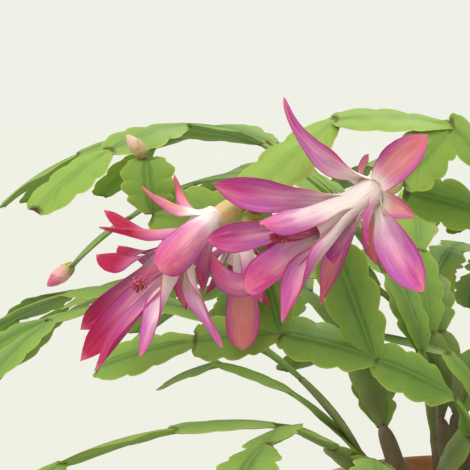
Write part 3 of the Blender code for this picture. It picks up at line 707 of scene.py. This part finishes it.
def add_tube(shape, bloom):
    """Ovary and floral tube, hollow at its mouth."""
    base, throat, mouth = ends_of(bloom, "base", "throat", "mouth")
    rings, sides, split = 36, 30, 0.6
    u = np.linspace(0, 1, rings)
    places = np.where(
        (u < split)[:, None], base + (throat - base) * (u / split)[:, None],
        throat + (mouth - throat) * ((u - split) / (1 - split))[:, None],
    )
    places = relaxed(places, 6)
    slope = unit(np.gradient(places, axis=0))
    up = unit(np.array([0, 0, 1.0]) - slope * slope[:, 2:3])
    a = turns(sides)
    ribs = 1 + 0.05 * np.cos(5 * a) * (1 - smooth(0.3, 0.55, u))[:, None]
    ring = circle(up[:, None], np.cross(slope, up)[:, None], a)
    wall = places[:, None] + ring * (np.interp(u, *zip(*TUBE_PROFILE))[:, None] * ribs)[..., None]
    hollow = [mouth - unit(mouth - throat) * depth + ring[-1] * wide for depth, wide in HOLLOW]
    points = np.concatenate([wall, hollow])
    uv = grid(np.concatenate([u, np.ones(len(HOLLOW))]), a / (2 * np.pi))
    inner = np.repeat([0.0] * rings + [1.0] * len(HOLLOW), sides)
    shape.add(points, ring_faces(len(points), sides), uv, inside=inner)


def add_thread(shape, path, radius, slot=0, taper=1.0, sides=6):
    """A thin round strand along a path."""
    slope = unit(np.gradient(path, axis=0))
    side = unit(np.cross(slope, [0.21, 0.13, 0.97]))
    a = turns(sides)
    wide = radius * np.linspace(1, taper, len(path))
    points = path[:, None] + circle(side[:, None], np.cross(slope, side)[:, None], a) * wide[:, None, None]
    shape.add(points, ring_faces(len(path), sides), grid(np.linspace(0, 1, len(path)), a / TURN), slot)


def add_grain(shape, centre, along, length, radius, slot, sides=8):
    """A small rounded body, such as an anther."""
    centre, along = np.array(centre, float), unit(np.array(along, float))
    s = np.sin(np.linspace(-1, 1, 7) * np.pi / 2) * 0.98
    side = unit(np.cross(along, [0.31, 0.17, 0.94]))
    a = turns(sides)
    ring = circle(side, np.cross(along, side), a)
    points = centre + along * (s * length / 2)[:, None, None] + ring * (radius * np.sqrt(1 - s**2))[:, None, None]
    shape.add(points, ring_faces(7, sides), grid((s + 1) / 2, a / TURN), slot)


def add_stamens(shape, bloom, reach, rng, lift, count=22):
    """Filaments with anthers, and the longer style with its dark lobed stigma."""
    along, up, side = (np.array(v) for v in tube_frame(bloom))
    mouth = np.array(bloom["mouth"], float)
    aim = unit(along + up * lift)

    def strand(start, end):
        t = np.linspace(0, 1, 9)[:, None]
        middle = start + along * np.linalg.norm(end - start) * 0.45
        return start * (1 - t) ** 2 + middle * 2 * t * (1 - t) + end * t**2

    for i in range(count):
        a = TURN * i / count + rng.uniform(-0.1, 0.1)
        ring = up * math.cos(a) + side * math.sin(a)
        far = reach * rng.uniform(0.74, 0.94)
        end = mouth + aim * far + ring * rng.uniform(0.9, 2.3) + up * rng.uniform(-0.5, 0.9)
        path = strand(mouth - along * 5.0 + ring * 2.0, end)
        add_thread(shape, path, 0.16, 0, 0.6)
        ahead = path[-1] - path[-2]
        add_grain(shape, path[-1] + ahead * 0.1, unit(ahead) + ring * 0.5, 1.3, 0.42, 1)
    style = strand(mouth - along * 6.0, mouth + aim * reach)
    add_thread(shape, style, 0.3, 2, 0.85, 8)
    for i in range(STIGMA_LOBES):
        a = TURN * i / STIGMA_LOBES
        ring = up * math.cos(a) + side * math.sin(a)
        add_grain(shape, style[-1] + ring * 0.8 + aim * 0.4, aim + ring * 0.9, 2.5, 0.6, 3)


def make_bloom(name, bloom, tepals, reach, lift, skins):
    """A large bloom, its tepals as pieces of their own."""
    rng = random.Random(name)
    tube = Shape("inside")
    add_tube(tube, bloom)
    tube.finish(f"{name}_tube", "grown", [skins["tube"]])
    stamens = Shape()
    add_stamens(stamens, bloom, reach, rng, lift)
    stamens.finish(f"{name}_stamens", "grown", skins["stamens"])
    for i, row in enumerate(tepals):
        petal = Shape("warm", "deep", "pale")
        add_tepal(petal, bloom, row, rng, i % 5)
        petal.finish(f"{name}_t{i + 1:02d}", "grown", skins["petal"], sharp=75)


def make_whole_bloom(name, bloom, tepals, reach, skins):
    """A bloom as one piece: petals, tube and stamens together."""
    rng = random.Random(name)
    shape = Shape("warm", "deep", "pale", "inside")
    for i, row in enumerate(tepals):
        add_tepal(shape, bloom, row, rng, i % 5, fine=False)
    slots = len(shape.slots)
    add_tube(shape, bloom)
    shape.slots[slots:] = [2] * (len(shape.slots) - slots)
    slots = len(shape.slots)
    add_stamens(shape, bloom, reach, rng, 0.1, 14)
    shape.slots[slots:] = [slot + 3 for slot in shape.slots[slots:]]
    shape.finish(name, "grown", [*skins["petal"], skins["tube"], *skins["stamens"]], sharp=75)


def scale_faces(rows, cols):
    """Faces of a bud's scale, whose inner layer lies behind the outer one."""
    faces, back, end = [], rows * cols, (rows - 1) * cols
    for k in range(0, end, cols):
        for q in range(k, k + cols - 1):
            faces.append((q, q + 1, q + cols + 1, q + cols))
            faces.append((back + q + cols, back + q + cols + 1, back + q + 1, back + q))
        faces.append((k, k + cols, back + k + cols, back + k))
        m = k + cols - 1
        faces.append((m, back + m, back + m + cols, m + cols))
    for q in range(cols - 1):
        faces.append((q + 1, q, back + q, back + q + 1))
        faces.append((end + q, end + q + 1, back + end + q + 1, back + end + q))
    return faces


def make_bud(name, base, tip, radius, skin):
    """A bud: a pointed body wrapped in overlapping scales."""
    base, tip = np.array(base, float), np.array(tip, float)
    length = np.linalg.norm(tip - base)
    along = (tip - base) / length
    up = unit(np.array([0, 0, 1.0]) - along * along[2])
    side = np.cross(along, up)
    u, a = np.linspace(0, 1, 22), turns(24)
    girth = np.interp(u, *zip(*BUD_PROFILE)) * radius
    twist = a + 0.8 * u[:, None]
    flutes = 1 + 0.05 * np.abs(np.sin(2.5 * twist))
    shape = Shape()
    body = circle(up, side, twist) * (girth[:, None] * flutes)[..., None]
    shape.add(base + along * (u * length)[:, None, None] + body, ring_faces(22, 24), grid(u, a / TURN))
    s, v = np.linspace(0, 1, 9), np.linspace(-1, 1, 7)
    spread = np.radians(52) * np.interp(s, (0, 0.4, 0.8, 1), (0.8, 1, 0.55, 0.04))
    for i in range(BUD_SCALES):
        place = np.clip(0.02 + 0.05 * i + s * (0.3 + 0.05 * (i % 3)), 0, 1)
        wide = np.interp(place, u, girth) * 1.06 + 0.12 + 0.12 * s
        angle = 2.4 * i + v * spread[:, None]
        centre, ring = base + along * (place * length)[:, None, None], circle(up, side, angle)
        layers = [centre + ring * (wide + lift)[:, None, None] for lift in (SCALE_THICK, 0.0)]
        uv = grid(place * 0.8, angle / TURN % 1)
        shape.add(layers, scale_faces(len(s), len(v)), [uv, uv])
    shape.finish(name, "grown", [skin])


# ---- pot and soil


def make_pot(skin):
    """The pot turned in fine steps, with rounded edges and drain holes."""
    low = POT_HEIGHT - COLLAR_HEIGHT
    rim, wall = POT_RIM_RADIUS, POT_WALL
    corners = (
        (0.0, POT_FLOOR, 0), (inner_radius(POT_FLOOR) - 2, POT_FLOOR, 3), (inner_radius(low), low, 3),
        (rim - wall, POT_HEIGHT, 1.8), (rim, POT_HEIGHT, 1.8), (rim - 1.6, low, 1.5),
        (wall_radius(low), low, 0.8), (POT_BASE_RADIUS, 0.0, 1.6), (0.0, 0.0, 0),
    )
    profile = []
    for before, (r, z, bevel), after in zip(corners, corners[1:], corners[2:]):
        p = np.array((r, z))
        start, end = (unit(np.array(corner[:2]) - p) * bevel for corner in (before, after))
        profile += [p + start * (1 - t) ** 2 + end * t**2 for t in np.linspace(0, 1, 5)]
    profile = np.array(profile)
    sides, count = 120, len(profile)
    a = turns(sides)
    wobble = 1 + 0.0016 * np.sin(2 * a + 0.6) + 0.0012 * np.sin(3 * a + 2.0)
    r = profile[:, :1] * wobble
    points = np.stack(np.broadcast_arrays(r * np.cos(a), r * np.sin(a), profile[:, 1:]), axis=-1)
    points = np.concatenate([points.reshape(-1, 3), [(0, 0, POT_FLOOR), (0, 0, 0)]])
    faces = turned_faces(count, sides)
    top, under, last = count * sides, count * sides + 1, (count - 1) * sides
    for j in range(sides):
        k = (j + 1) % sides
        faces += [(top, j, k), (under, last + k, last + j)]
    heading = np.arctan2(points[:, 1], points[:, 0]) / TURN + 0.5
    shape = Shape()
    shape.add(points, faces, np.stack([heading, points[:, 2] / POT_HEIGHT], axis=-1))
    pot = shape.finish("pot", "turned", [skin], sharp=40)
    for i in range(DRAIN_HOLES):
        drill_hole(pot, math.tau * (i + 0.5) / DRAIN_HOLES)


def drill_hole(pot, angle):
    """Cuts a drain hole through the pot's floor."""
    b = turns(32)
    ring = np.stack([np.cos(b), np.sin(b), 0 * b], axis=-1) * DRAIN_RADIUS
    ring = np.array([DRAIN_CIRCLE * math.cos(angle), DRAIN_CIRCLE * math.sin(angle), 0]) + ring
    points = np.concatenate([ring + [0, 0, -5], ring + [0, 0, POT_FLOOR + 5]])
    mesh = bpy.data.meshes.new("drill")
    mesh.from_pydata((points * MM).tolist(), [], ring_faces(2, 32))
    cutter = new_object("drill", mesh)
    cut = pot.modifiers.new("Drain", "BOOLEAN")
    cut.operation = "DIFFERENCE"
    cut.solver = "EXACT"
    cut.object = cutter
    graph = bpy.context.evaluated_depsgraph_get()
    drilled = bpy.data.meshes.new_from_object(pot.evaluated_get(graph))
    pot.modifiers.clear()
    pot.data = drilled
    bpy.data.objects.remove(cutter)


def crumble(x, y):
    """How far the soil's top rises at a place."""
    return 1.6 * noise.noise(Vector((x, y, 0)) * 0.06) + 1.3 * noise.noise(Vector((x, y, 7)) * 0.22)


def make_soil(skins):
    """Crumbly potting soil with bits of bark and perlite on top."""
    rng = random.Random(5)
    shape = Shape()
    edge = inner_radius(POT_HEIGHT - COLLAR_HEIGHT) + 1.0
    top, sides = SOIL_TOP - 0.6, 120
    around = turns(sides)
    points = [(0.0, 0.0, SOIL_TOP)]
    for radius in np.linspace(0, 1, 46)[1:] ** 0.9 * edge:
        for angle in around:
            x, y = radius * math.cos(angle), radius * math.sin(angle)
            z = crumble(x, y) + 0.8 * noise.noise(Vector((x, y, 3)) * 0.6)
            points.append((x, y, top + z * (1 - 0.6 * (radius / edge) ** 6)))
    deep = [(inner_radius(POT_FLOOR + 3) - 0.6, POT_FLOOR + 3.3), (inner_radius(POT_FLOOR) - 3.4, POT_FLOOR + 0.4)]
    for radius, z in deep:
        points += [(radius * math.cos(angle), radius * math.sin(angle), z) for angle in around]
    faces = [(0, 1 + j, 1 + (j + 1) % sides) for j in range(sides)]
    faces += turned_faces(len(points) // sides, sides, 1)
    faces.append(tuple(range(len(points) - 1, len(points) - 1 - sides, -1)))
    points = np.array(points)
    shape.add(points, faces, points[:, :2] * 0.01)
    for i in range(CRUMBS):
        radius, angle = edge * math.sqrt(rng.random()) * 0.97, rng.uniform(0, TURN)
        x, y = radius * math.cos(angle), radius * math.sin(angle)
        pale = i % 5 == 0
        size = rng.uniform(0.9, 1.7) if pale else rng.uniform(1.0, 2.8)
        along = Vector((rng.uniform(-1, 1), rng.uniform(-1, 1), rng.uniform(-0.25, 0.25))).normalized()
        length = size * (1.2 if pale else 2.2)
        add_grain(shape, (x, y, top + crumble(x, y)), along, length, size * 0.55, 1 if pale else 2, 7)
    shape.finish("soil", "filled", skins, sharp=60)


# ---- materials


class Nodes:
    """A material's node tree, with short calls for the nodes used here. body is the colour painted so far."""

    def __init__(self, name, ground):
        self.material = bpy.data.materials.new(name)
        self.material.use_nodes = True
        self.tree = self.material.node_tree
        self.shader = self.tree.nodes["Principled BSDF"]
        self.body = ground

    def new(self, kind, inputs=(), **settings):
        made = self.tree.nodes.new(kind)
        for key, value in settings.items():
            setattr(made, key, value)
        for key, value in dict(inputs).items():
            self.set(made.inputs[key], value)
        return made

    def set(self, socket, value):
        if isinstance(value, bpy.types.NodeSocket):
            self.tree.links.new(value, socket)
        elif isinstance(value, bpy.types.Node):
            self.tree.links.new(value.outputs[0], socket)
        else:
            socket.default_value = (*value, 1) if isinstance(value, tuple) else value

    def math(self, kind, a, b=0.0, c=0.0, clamp=False):
        return self.new("ShaderNodeMath", {0: a, 1: b, 2: c}, operation=kind, use_clamp=clamp).outputs[0]

    def mul(self, a, b, *more):
        return self.math("MULTIPLY", a, self.mul(b, *more) if more else b)

    def add(self, a, b):
        return self.math("ADD", a, b)

    def mul_add(self, a, b, c):
        return self.math("MULTIPLY_ADD", a, b, c)

    def ramp(self, value, low, high, to_low=0.0, to_high=1.0):
        """value from low..high to to_low..to_high, eased and clamped."""
        inputs = {0: value, 1: low, 2: high, 3: to_low, 4: to_high}
        return self.new("ShaderNodeMapRange", inputs, interpolation_type="SMOOTHSTEP").outputs[0]

    def value(self, name):
        return self.new("ShaderNodeAttribute", attribute_name=name).outputs["Fac"]

    def blend(self, factor, a, b):
        return self.new("ShaderNodeMix", {0: factor, 6: a, 7: b}, data_type="RGBA").outputs[2]

    def paint(self, color, factor, share=None):
        """Lays a colour over the body, by a factor that share makes smaller."""
        self.body = self.blend(factor if share is None else self.mul(factor, share), self.body, color)

    def spread(self):
        """The texture coordinates (along, around), both from 0 to 1."""
        return self.new("ShaderNodeSeparateXYZ", {0: self.new("ShaderNodeUVMap", uv_map="Surface")}).outputs[:2]

    def surface(self):
        """The coordinates (along, across) of a blade, across from -1 to 1, and how far off its midrib that is."""
        along, across = self.spread()
        across = self.mul_add(across, 2.0, -1.0)
        return along, across, self.math("ABSOLUTE", across)

    def noise(self, scale, detail=3.0, rough=0.5, at=None, distort=0.0):
        inputs = {"Scale": scale, "Detail": detail, "Roughness": rough, "Distortion": distort}
        made = self.new("ShaderNodeTexNoise", inputs)
        self.set(made.inputs["Vector"], at or self.new("ShaderNodeTexCoord").outputs["Object"])
        return made.outputs["Fac"]

    def at(self, x, y, z=0.0):
        return self.new("ShaderNodeCombineXYZ", {0: x, 1: y, 2: z}).outputs[0]

    def streaks(self, along, coarse, across, fine, seed=0.0, detail=2.0, rough=0.6, distort=0.0):
        """Noise drawn out along a piece."""
        return self.noise(1.0, detail, rough, self.at(self.mul(along, coarse), self.mul(across, fine), seed), distort)

    def base(self, roughness, **more):
        """Gives the shader the body's colour and its constants."""
        self.set(self.shader.inputs["Base Color"], self.body)
        self.set(self.shader.inputs["Roughness"], roughness)
        for key, value in more.items():
            self.shader.inputs[key.replace("_", " ")].default_value = value
        return self.material

    def bump(self, height, strength, distance):
        made = self.new("ShaderNodeBump", {"Strength": strength, "Distance": distance, "Height": height})
        self.set(self.shader.inputs["Normal"], made)
        return self.material

    def let_light_through(self, color, share):
        """Mixes in light that shines through from behind."""
        glow = self.new("ShaderNodeBsdfTranslucent", {"Color": color})
        mixed = self.new("ShaderNodeMixShader", {0: share, 1: self.shader, 2: glow})
        self.set(self.tree.nodes["Material Output"].inputs[0], mixed)
        return self.material


def segment_skin():
    n = Nodes("segment_skin", (0.16, 0.3, 0.05))
    along, across, away = n.surface()
    tone, age, wood = n.value("tone"), n.value("age"), n.value("wood")
    patch = n.noise(55.0, 4.0, 0.55)
    n.paint((0.35, 0.51, 0.095), tone)
    n.paint((0.09, 0.185, 0.06), age, 0.8)
    n.paint((0.29, 0.45, 0.085), n.ramp(patch, 0.42, 0.66, 0.0, 0.45))
    n.paint((0.33, 0.46, 0.075), n.ramp(away, 0.3, 0.95), 0.55)
    vein_at = n.at(n.mul_add(away, -1.6, n.mul(along, 5.0)), n.mul(across, 0.6), tone)
    veins = n.ramp(n.noise(3.2, 2.0, 0.5, vein_at), 0.55, 0.72)
    n.paint((0.09, 0.19, 0.035), veins, 0.22)
    shade = n.mul(n.ramp(away, 0.1, 0.3, 1.0, 0.0), n.ramp(along, 0.0, 0.12))
    shade = n.mul(shade, n.ramp(n.add(patch, n.mul(tone, -0.5)), -0.1, 0.5, 0.25, 1.0))
    n.paint((0.05, 0.125, 0.022), shade, 0.65)
    n.paint((0.3, 0.42, 0.1), n.ramp(away, 0.02, 0.07, 1.0, 0.0), 0.45)
    n.paint((0.47, 0.56, 0.11), n.ramp(away, 0.9, 1.0), 0.8)
    flush = n.mul(n.ramp(n.noise(30.0, 2.0), 0.52, 0.7), n.ramp(away, 0.6, 1.0))
    n.paint((0.34, 0.1, 0.06), flush, 0.35)
    joint = n.math("MAXIMUM", n.ramp(along, 0.012, 0.045, 1.0, 0.0), n.ramp(along, 0.965, 0.99))
    n.paint((0.11, 0.07, 0.03), n.mul(joint, n.ramp(away, 0.5, 0.95, 1.0, 0.25)), 0.8)
    bark = n.blend(n.noise(220.0, 5.0, 0.7), (0.06, 0.04, 0.022), (0.23, 0.165, 0.095))
    n.paint(bark, n.ramp(n.add(wood, n.mul_add(patch, 0.5, -0.25)), 0.25, 0.75))
    n.base(n.ramp(patch, 0.3, 0.7, 0.4, 0.54), Specular_IOR_Level=0.24)
    height = n.add(n.mul(n.noise(1500.0, 2.0, 0.6), 0.25), n.mul(veins, -0.5))
    height = n.add(height, n.mul(n.noise(260.0, 4.0, 0.65), n.mul_add(wood, 3.0, 0.3)))
    n.bump(height, 0.5, FINE_RELIEF)
    living = n.mul(n.math("SUBTRACT", 1.0, wood, clamp=True), 0.36)
    return n.let_light_through(n.blend(0.5, n.body, (0.42, 0.62, 0.08)), living)


def bristle_skin():
    n = Nodes("bristle_skin", (0.16, 0.09, 0.045))
    n.paint((0.42, 0.28, 0.15), n.noise(900.0))
    return n.base(0.7)


def petal_skin(name, cream, blush, pink, tip, light, cool, rim):
    """One face of a tepal: white at its base, then pink to its tip, with streaks and a darker rim."""
    n = Nodes(name, cream)
    place, across, away = n.surface()
    along = n.mul_add(place, 1.35, -0.35)
    warm, deep, pale = n.value("warm"), n.value("deep"), n.value("pale")
    seed = n.add(n.mul(warm, 3.1), n.mul_add(deep, 5.3, pale))
    streak = n.streaks(along, 2.2, across, 9.0, seed, 3.0, distort=0.3)
    thread = n.streaks(along, 3.0, across, 26.0, seed)
    shift = n.mul_add(streak, 0.22, -0.11)
    reach = n.add(n.add(along, shift), n.mul(n.math("SUBTRACT", pale, 0.3), -0.3))
    n.paint(blush, n.ramp(reach, 0.0, 0.24))
    n.paint(pink, n.ramp(reach, 0.14, 0.5))
    n.paint(tip, n.ramp(reach, 0.5, 0.92))
    middle = n.mul(n.ramp(away, 0.05, 0.6, 1.0, 0.0), n.ramp(reach, 0.1, 0.3), n.ramp(reach, 0.4, 0.75, 1.0, 0.0))
    n.paint(light, middle, 0.6)
    channel = n.mul(n.ramp(pale, 0.55, 1.05), n.ramp(away, 0.25, 0.8, 1.0, 0.0), n.ramp(along, 0.45, 0.78, 1.0, 0.0))
    n.paint((0.93, 0.84, 0.84), channel, 0.75)
    drift = n.streaks(along, 2.4, across, 1.5, n.add(seed, 3.7), rough=0.5)
    coloured = n.ramp(reach, 0.08, 0.4)
    n.paint((0.86, 0.36, 0.4), n.ramp(drift, 0.5, 0.68, 0.0, 0.55), coloured)
    n.paint((0.52, 0.14, 0.5), n.ramp(drift, 0.48, 0.34, 0.0, 0.45), coloured)
    n.paint(cool, n.mul(n.ramp(away, 0.35, 0.8), n.ramp(reach, 0.12, 0.4), n.ramp(reach, 0.6, 1.0, 1.0, 0.2)), 0.5)
    orange = n.mul(warm, n.ramp(away, 0.3, 0.95, 1.0, 0.15), n.ramp(along, 0.08, 0.4))
    n.paint((0.86, 0.33, 0.24), orange, 0.85)
    # Dark red towards the tip by the deep value. This is the tepal's own colour, and painted shade on the left
    # bloom's overlapping bundle.
    n.paint((0.5, 0.012, 0.065), n.math("MULTIPLY", deep, n.ramp(n.add(along, shift), 0.25, 0.85), clamp=True))
    n.paint((0.55, 0.12, 0.38), n.ramp(thread, 0.5, 0.72), 0.34)
    n.paint((0.94, 0.72, 0.8), n.ramp(thread, 0.5, 0.3), n.ramp(deep, 0.0, 1.0, 0.25, 0.06))
    n.paint(rim, n.mul(n.ramp(away, 0.86, 0.99), n.ramp(along, 0.02, 0.25)), 0.75)
    n.paint((0.8, 0.3, 0.34), n.ramp(n.add(along, n.mul(streak, 0.05)), 0.93, 1.02), 0.5)
    n.base(0.5, Specular_IOR_Level=0.18)
    n.bump(n.add(n.mul(thread, 0.7), n.mul(n.noise(900.0, 2.0), 0.25)), 0.35, FINE_RELIEF)
    return n.let_light_through(n.body, 0.36)


def tube_skin():
    n = Nodes("tube_skin", (0.32, 0.36, 0.07))
    along, around = n.spread()
    inside = n.value("inside")
    thread = n.streaks(along, 5.0, around, 40.0, rough=0.5)
    n.paint((0.6, 0.58, 0.18), n.ramp(along, 0.0, 0.12))
    n.paint((0.72, 0.52, 0.24), n.ramp(along, 0.16, 0.36))
    n.paint((0.86, 0.62, 0.55), n.ramp(along, 0.36, 0.46))
    n.paint((0.96, 0.87, 0.82), n.ramp(along, 0.5, 0.66))
    n.paint((0.86, 0.55, 0.66), n.ramp(along, 0.75, 1.0), 0.6)
    n.paint((0.74, 0.3, 0.42), n.ramp(thread, 0.5, 0.7), 0.3)
    n.paint((0.9, 0.78, 0.74), inside)
    n.base(0.4, Specular_IOR_Level=0.4)
    n.bump(thread, 0.3, FINE_RELIEF)
    return n.let_light_through(n.body, 0.25)


def strand_skin(name, low, high, roughness=0.45):
    n = Nodes(name, low)
    n.paint(high, n.ramp(n.spread()[0], 0.1, 0.9))
    n.paint(high, n.noise(2500.0), 0.3)
    return n.base(roughness)


def bud_skin(name, green, middle, tip, streak, husk=None):
    """A bud that ripens towards its tip, with brown husks if it is given their colour."""
    n = Nodes(name, green)
    along, around = n.spread()
    thread = n.streaks(along, 3.0, around, 30.0, detail=3.0)
    ripe = n.mul_add(thread, 0.2, along)
    n.paint(middle, n.ramp(ripe, 0.14, 0.4))
    n.paint(tip, n.ramp(ripe, 0.45, 0.85))
    if husk:
        n.paint(husk, n.mul(n.ramp(n.noise(140.0, 3.0, 0.6), 0.5, 0.62), n.ramp(along, 0.35, 0.6, 1.0, 0.3)), 0.7)
    n.paint(streak, n.ramp(thread, 0.52, 0.7), 0.35)
    n.base(0.5, Sheen_Weight=0.1)
    return n.bump(thread, 0.4, FINE_RELIEF)


def clay_skin():
    n = Nodes("clay_skin", (0.5, 0.185, 0.085))
    high = n.new("ShaderNodeSeparateXYZ", {0: n.new("ShaderNodeTexCoord").outputs["Object"]}).outputs[2]
    cloud, fine = n.noise(22.0, 5.0, 0.6), n.noise(420.0, 4.0, 0.7)
    n.paint((0.62, 0.27, 0.135), cloud)
    n.paint((0.4, 0.13, 0.06), n.ramp(fine, 0.5, 0.75), 0.45)
    n.paint((0.75, 0.48, 0.32), n.ramp(n.noise(900.0, 2.0), 0.66, 0.74), 0.5)
    lime = n.ramp(n.noise(34.0, 6.0, 0.7, distort=0.4), 0.5, 0.68)
    n.paint((0.74, 0.6, 0.49), lime, n.ramp(high, 0.02, 0.11, 0.15, 0.6))
    damp = n.mul(n.ramp(high, 0.0, 0.028, 1.0, 0.0), n.ramp(cloud, 0.35, 0.6))
    n.paint((0.26, 0.11, 0.06), damp, 0.5)
    n.base(n.ramp(fine, 0.3, 0.7, 0.78, 0.92), Specular_IOR_Level=0.3)
    turned = n.noise(1.0, 3.0, 0.6, n.at(0.0, 0.0, n.mul(high, 900.0)))
    return n.bump(n.add(n.mul(turned, 0.5), fine), 0.4, 0.0006)


def earth_skin():
    n = Nodes("earth_skin", (0.016, 0.01, 0.007))
    fine, lump = n.noise(900.0, 5.0, 0.75), n.noise(140.0, 4.0, 0.6)
    n.paint((0.085, 0.055, 0.034), n.ramp(fine, 0.35, 0.7))
    n.paint((0.1, 0.07, 0.045), n.ramp(lump, 0.5, 0.7), 0.5)
    n.base(0.95, Specular_IOR_Level=0.2)
    return n.bump(n.add(fine, n.mul(lump, 2.0)), 0.9, 0.001)


def grit_skin(name, low, high):
    n = Nodes(name, low)
    n.paint(high, n.noise(500.0, 3.0, 0.7))
    n.base(0.9)
    return n.bump(n.noise(1400.0, 3.0, 0.7), 0.6, 0.0004)


def floor_skin(color):
    n = Nodes("floor_skin", color)
    n.paint(tuple(c * 0.985 for c in color), n.noise(3.0, 2.0))
    return n.base(0.9, Specular_IOR_Level=0.1)


# ---- plant, stage, lights and camera


def build_plant():
    green = [segment_skin(), bristle_skin()]
    skins = {
        "petal": [
            petal_skin("petal_inner", (0.98, 0.93, 0.86), (0.88, 0.58, 0.74), (0.71, 0.17, 0.46),
                       (0.66, 0.055, 0.31), (0.88, 0.6, 0.74), (0.46, 0.13, 0.52), (0.58, 0.02, 0.18)),
            petal_skin("petal_outer", (0.97, 0.91, 0.85), (0.87, 0.55, 0.7), (0.71, 0.16, 0.43),
                       (0.66, 0.05, 0.28), (0.85, 0.52, 0.64), (0.5, 0.13, 0.48), (0.58, 0.02, 0.15)),
        ],
        "tube": tube_skin(),
        "stamens": [
            strand_skin("filament_skin", (0.72, 0.16, 0.34), (0.48, 0.02, 0.12)),
            strand_skin("anther_skin", (0.26, 0.02, 0.05), (0.5, 0.12, 0.12), 0.7),
            strand_skin("style_skin", (0.8, 0.3, 0.45), (0.5, 0.03, 0.14)),
            strand_skin("stigma_skin", (0.2, 0.008, 0.035), (0.36, 0.02, 0.08), 0.6),
        ],
    }
    make_pot(clay_skin())
    perlite = grit_skin("perlite_skin", (0.55, 0.53, 0.48), (0.85, 0.84, 0.8))
    bark = grit_skin("bark_skin", (0.03, 0.018, 0.01), (0.16, 0.09, 0.045))
    make_soil([earth_skin(), perlite, bark])
    grown = {f"stem_{i + 1:02d}": grow_stem(*plan) for i, plan in enumerate(STEMS)}
    for name, chains in grown.items():
        make_stem(name, chains, green)
    make_stem("stem_bloom", placed_stem(BLOOM_STEM), green, True, 0.8)
    make_stem("stem_bud", placed_stem(BUD_STEM), green, True, 0.1)
    make_stem("stem_right", placed_stem(RIGHT_STEM), green, True, 0.6)
    make_bloom("bloom_right", RIGHT_BLOOM, RIGHT_TEPALS, 15.0, 0.35, skins)
    make_bloom("bloom_left", LEFT_BLOOM, LEFT_TEPALS, 12.0, 0.1, skins)
    make_whole_bloom("bloom_middle", MIDDLE_BLOOM, MIDDLE_TEPALS, 8.0, skins)
    for name, (stem, chain, droop) in SIDE_BLOOMS.items():
        make_whole_bloom(name, hung_bloom(grown[stem][chain], droop), OPEN_TEPALS, 18.0, skins)
    young = bud_skin("bud_young", (0.24, 0.24, 0.05), (0.46, 0.36, 0.15), (0.62, 0.43, 0.34),
                     (0.26, 0.12, 0.06), (0.16, 0.1, 0.035))
    pink = bud_skin("bud_pink", (0.34, 0.38, 0.08), (0.8, 0.36, 0.36), (0.66, 0.09, 0.24), (0.6, 0.08, 0.2))
    make_bud("bud_left", *LEFT_BUD, young)
    for name, (stem, chain, length, radius) in BUDS.items():
        tip, along = chain_end(grown[stem][chain])
        base = tip + along * STAND_OFF
        make_bud(name, base, base + along * length, radius, pink)


def sun(name, heading, height, strength, softness, color):
    """Even light from a heading and height; softness is the angle that the light fills."""
    light = bpy.data.lights.new(name, "SUN")
    light.energy = strength
    light.angle = math.radians(softness)
    light.color = color
    obj = new_object(name, light)
    place = heading_vector(heading, height)
    obj.location = place * 2
    obj.rotation_mode = "QUATERNION"
    obj.rotation_quaternion = place.to_track_quat("Z", "Y")


def build_stage():
    mesh = bpy.data.meshes.new("floor")
    around = [(12 * math.cos(a), 12 * math.sin(a), -0.0005) for a in (math.tau * i / 96 for i in range(96))]
    mesh.from_pydata(around, [], [tuple(range(96))])
    mesh.materials.append(floor_skin((0.481, 0.485, 0.462)))
    new_object("floor", mesh)
    world = bpy.data.worlds.new("Studio")
    bpy.context.scene.world = world
    world.use_nodes = True
    back = world.node_tree.nodes["Background"]
    back.inputs["Color"].default_value = (0.87, 0.875, 0.79, 1)
    back.inputs["Strength"].default_value = 1.0
    sun("key", 250, 46, 2.3, 45, (1.0, 0.985, 0.96))
    sun("back_light", 70, 60, 1.5, 30, (1.0, 0.99, 0.96))


def build_camera():
    """The photo's view, towards the two large blooms."""
    data = bpy.data.cameras.new("camera")
    data.sensor_width = 36
    data.lens = 134.0
    data.clip_start = 0.02
    camera = new_object("camera", data)
    back = heading_vector(270, 5)
    camera.location = Vector((-0.100, -0.120, 0.245)) + back * 0.56
    camera.rotation_mode = "QUATERNION"
    camera.rotation_quaternion = (-back).to_track_quat("-Z", "Y")
    bpy.context.scene.camera = camera


build_plant()
build_stage()
build_camera()
bpy.context.scene.view_settings.view_transform = "Standard"
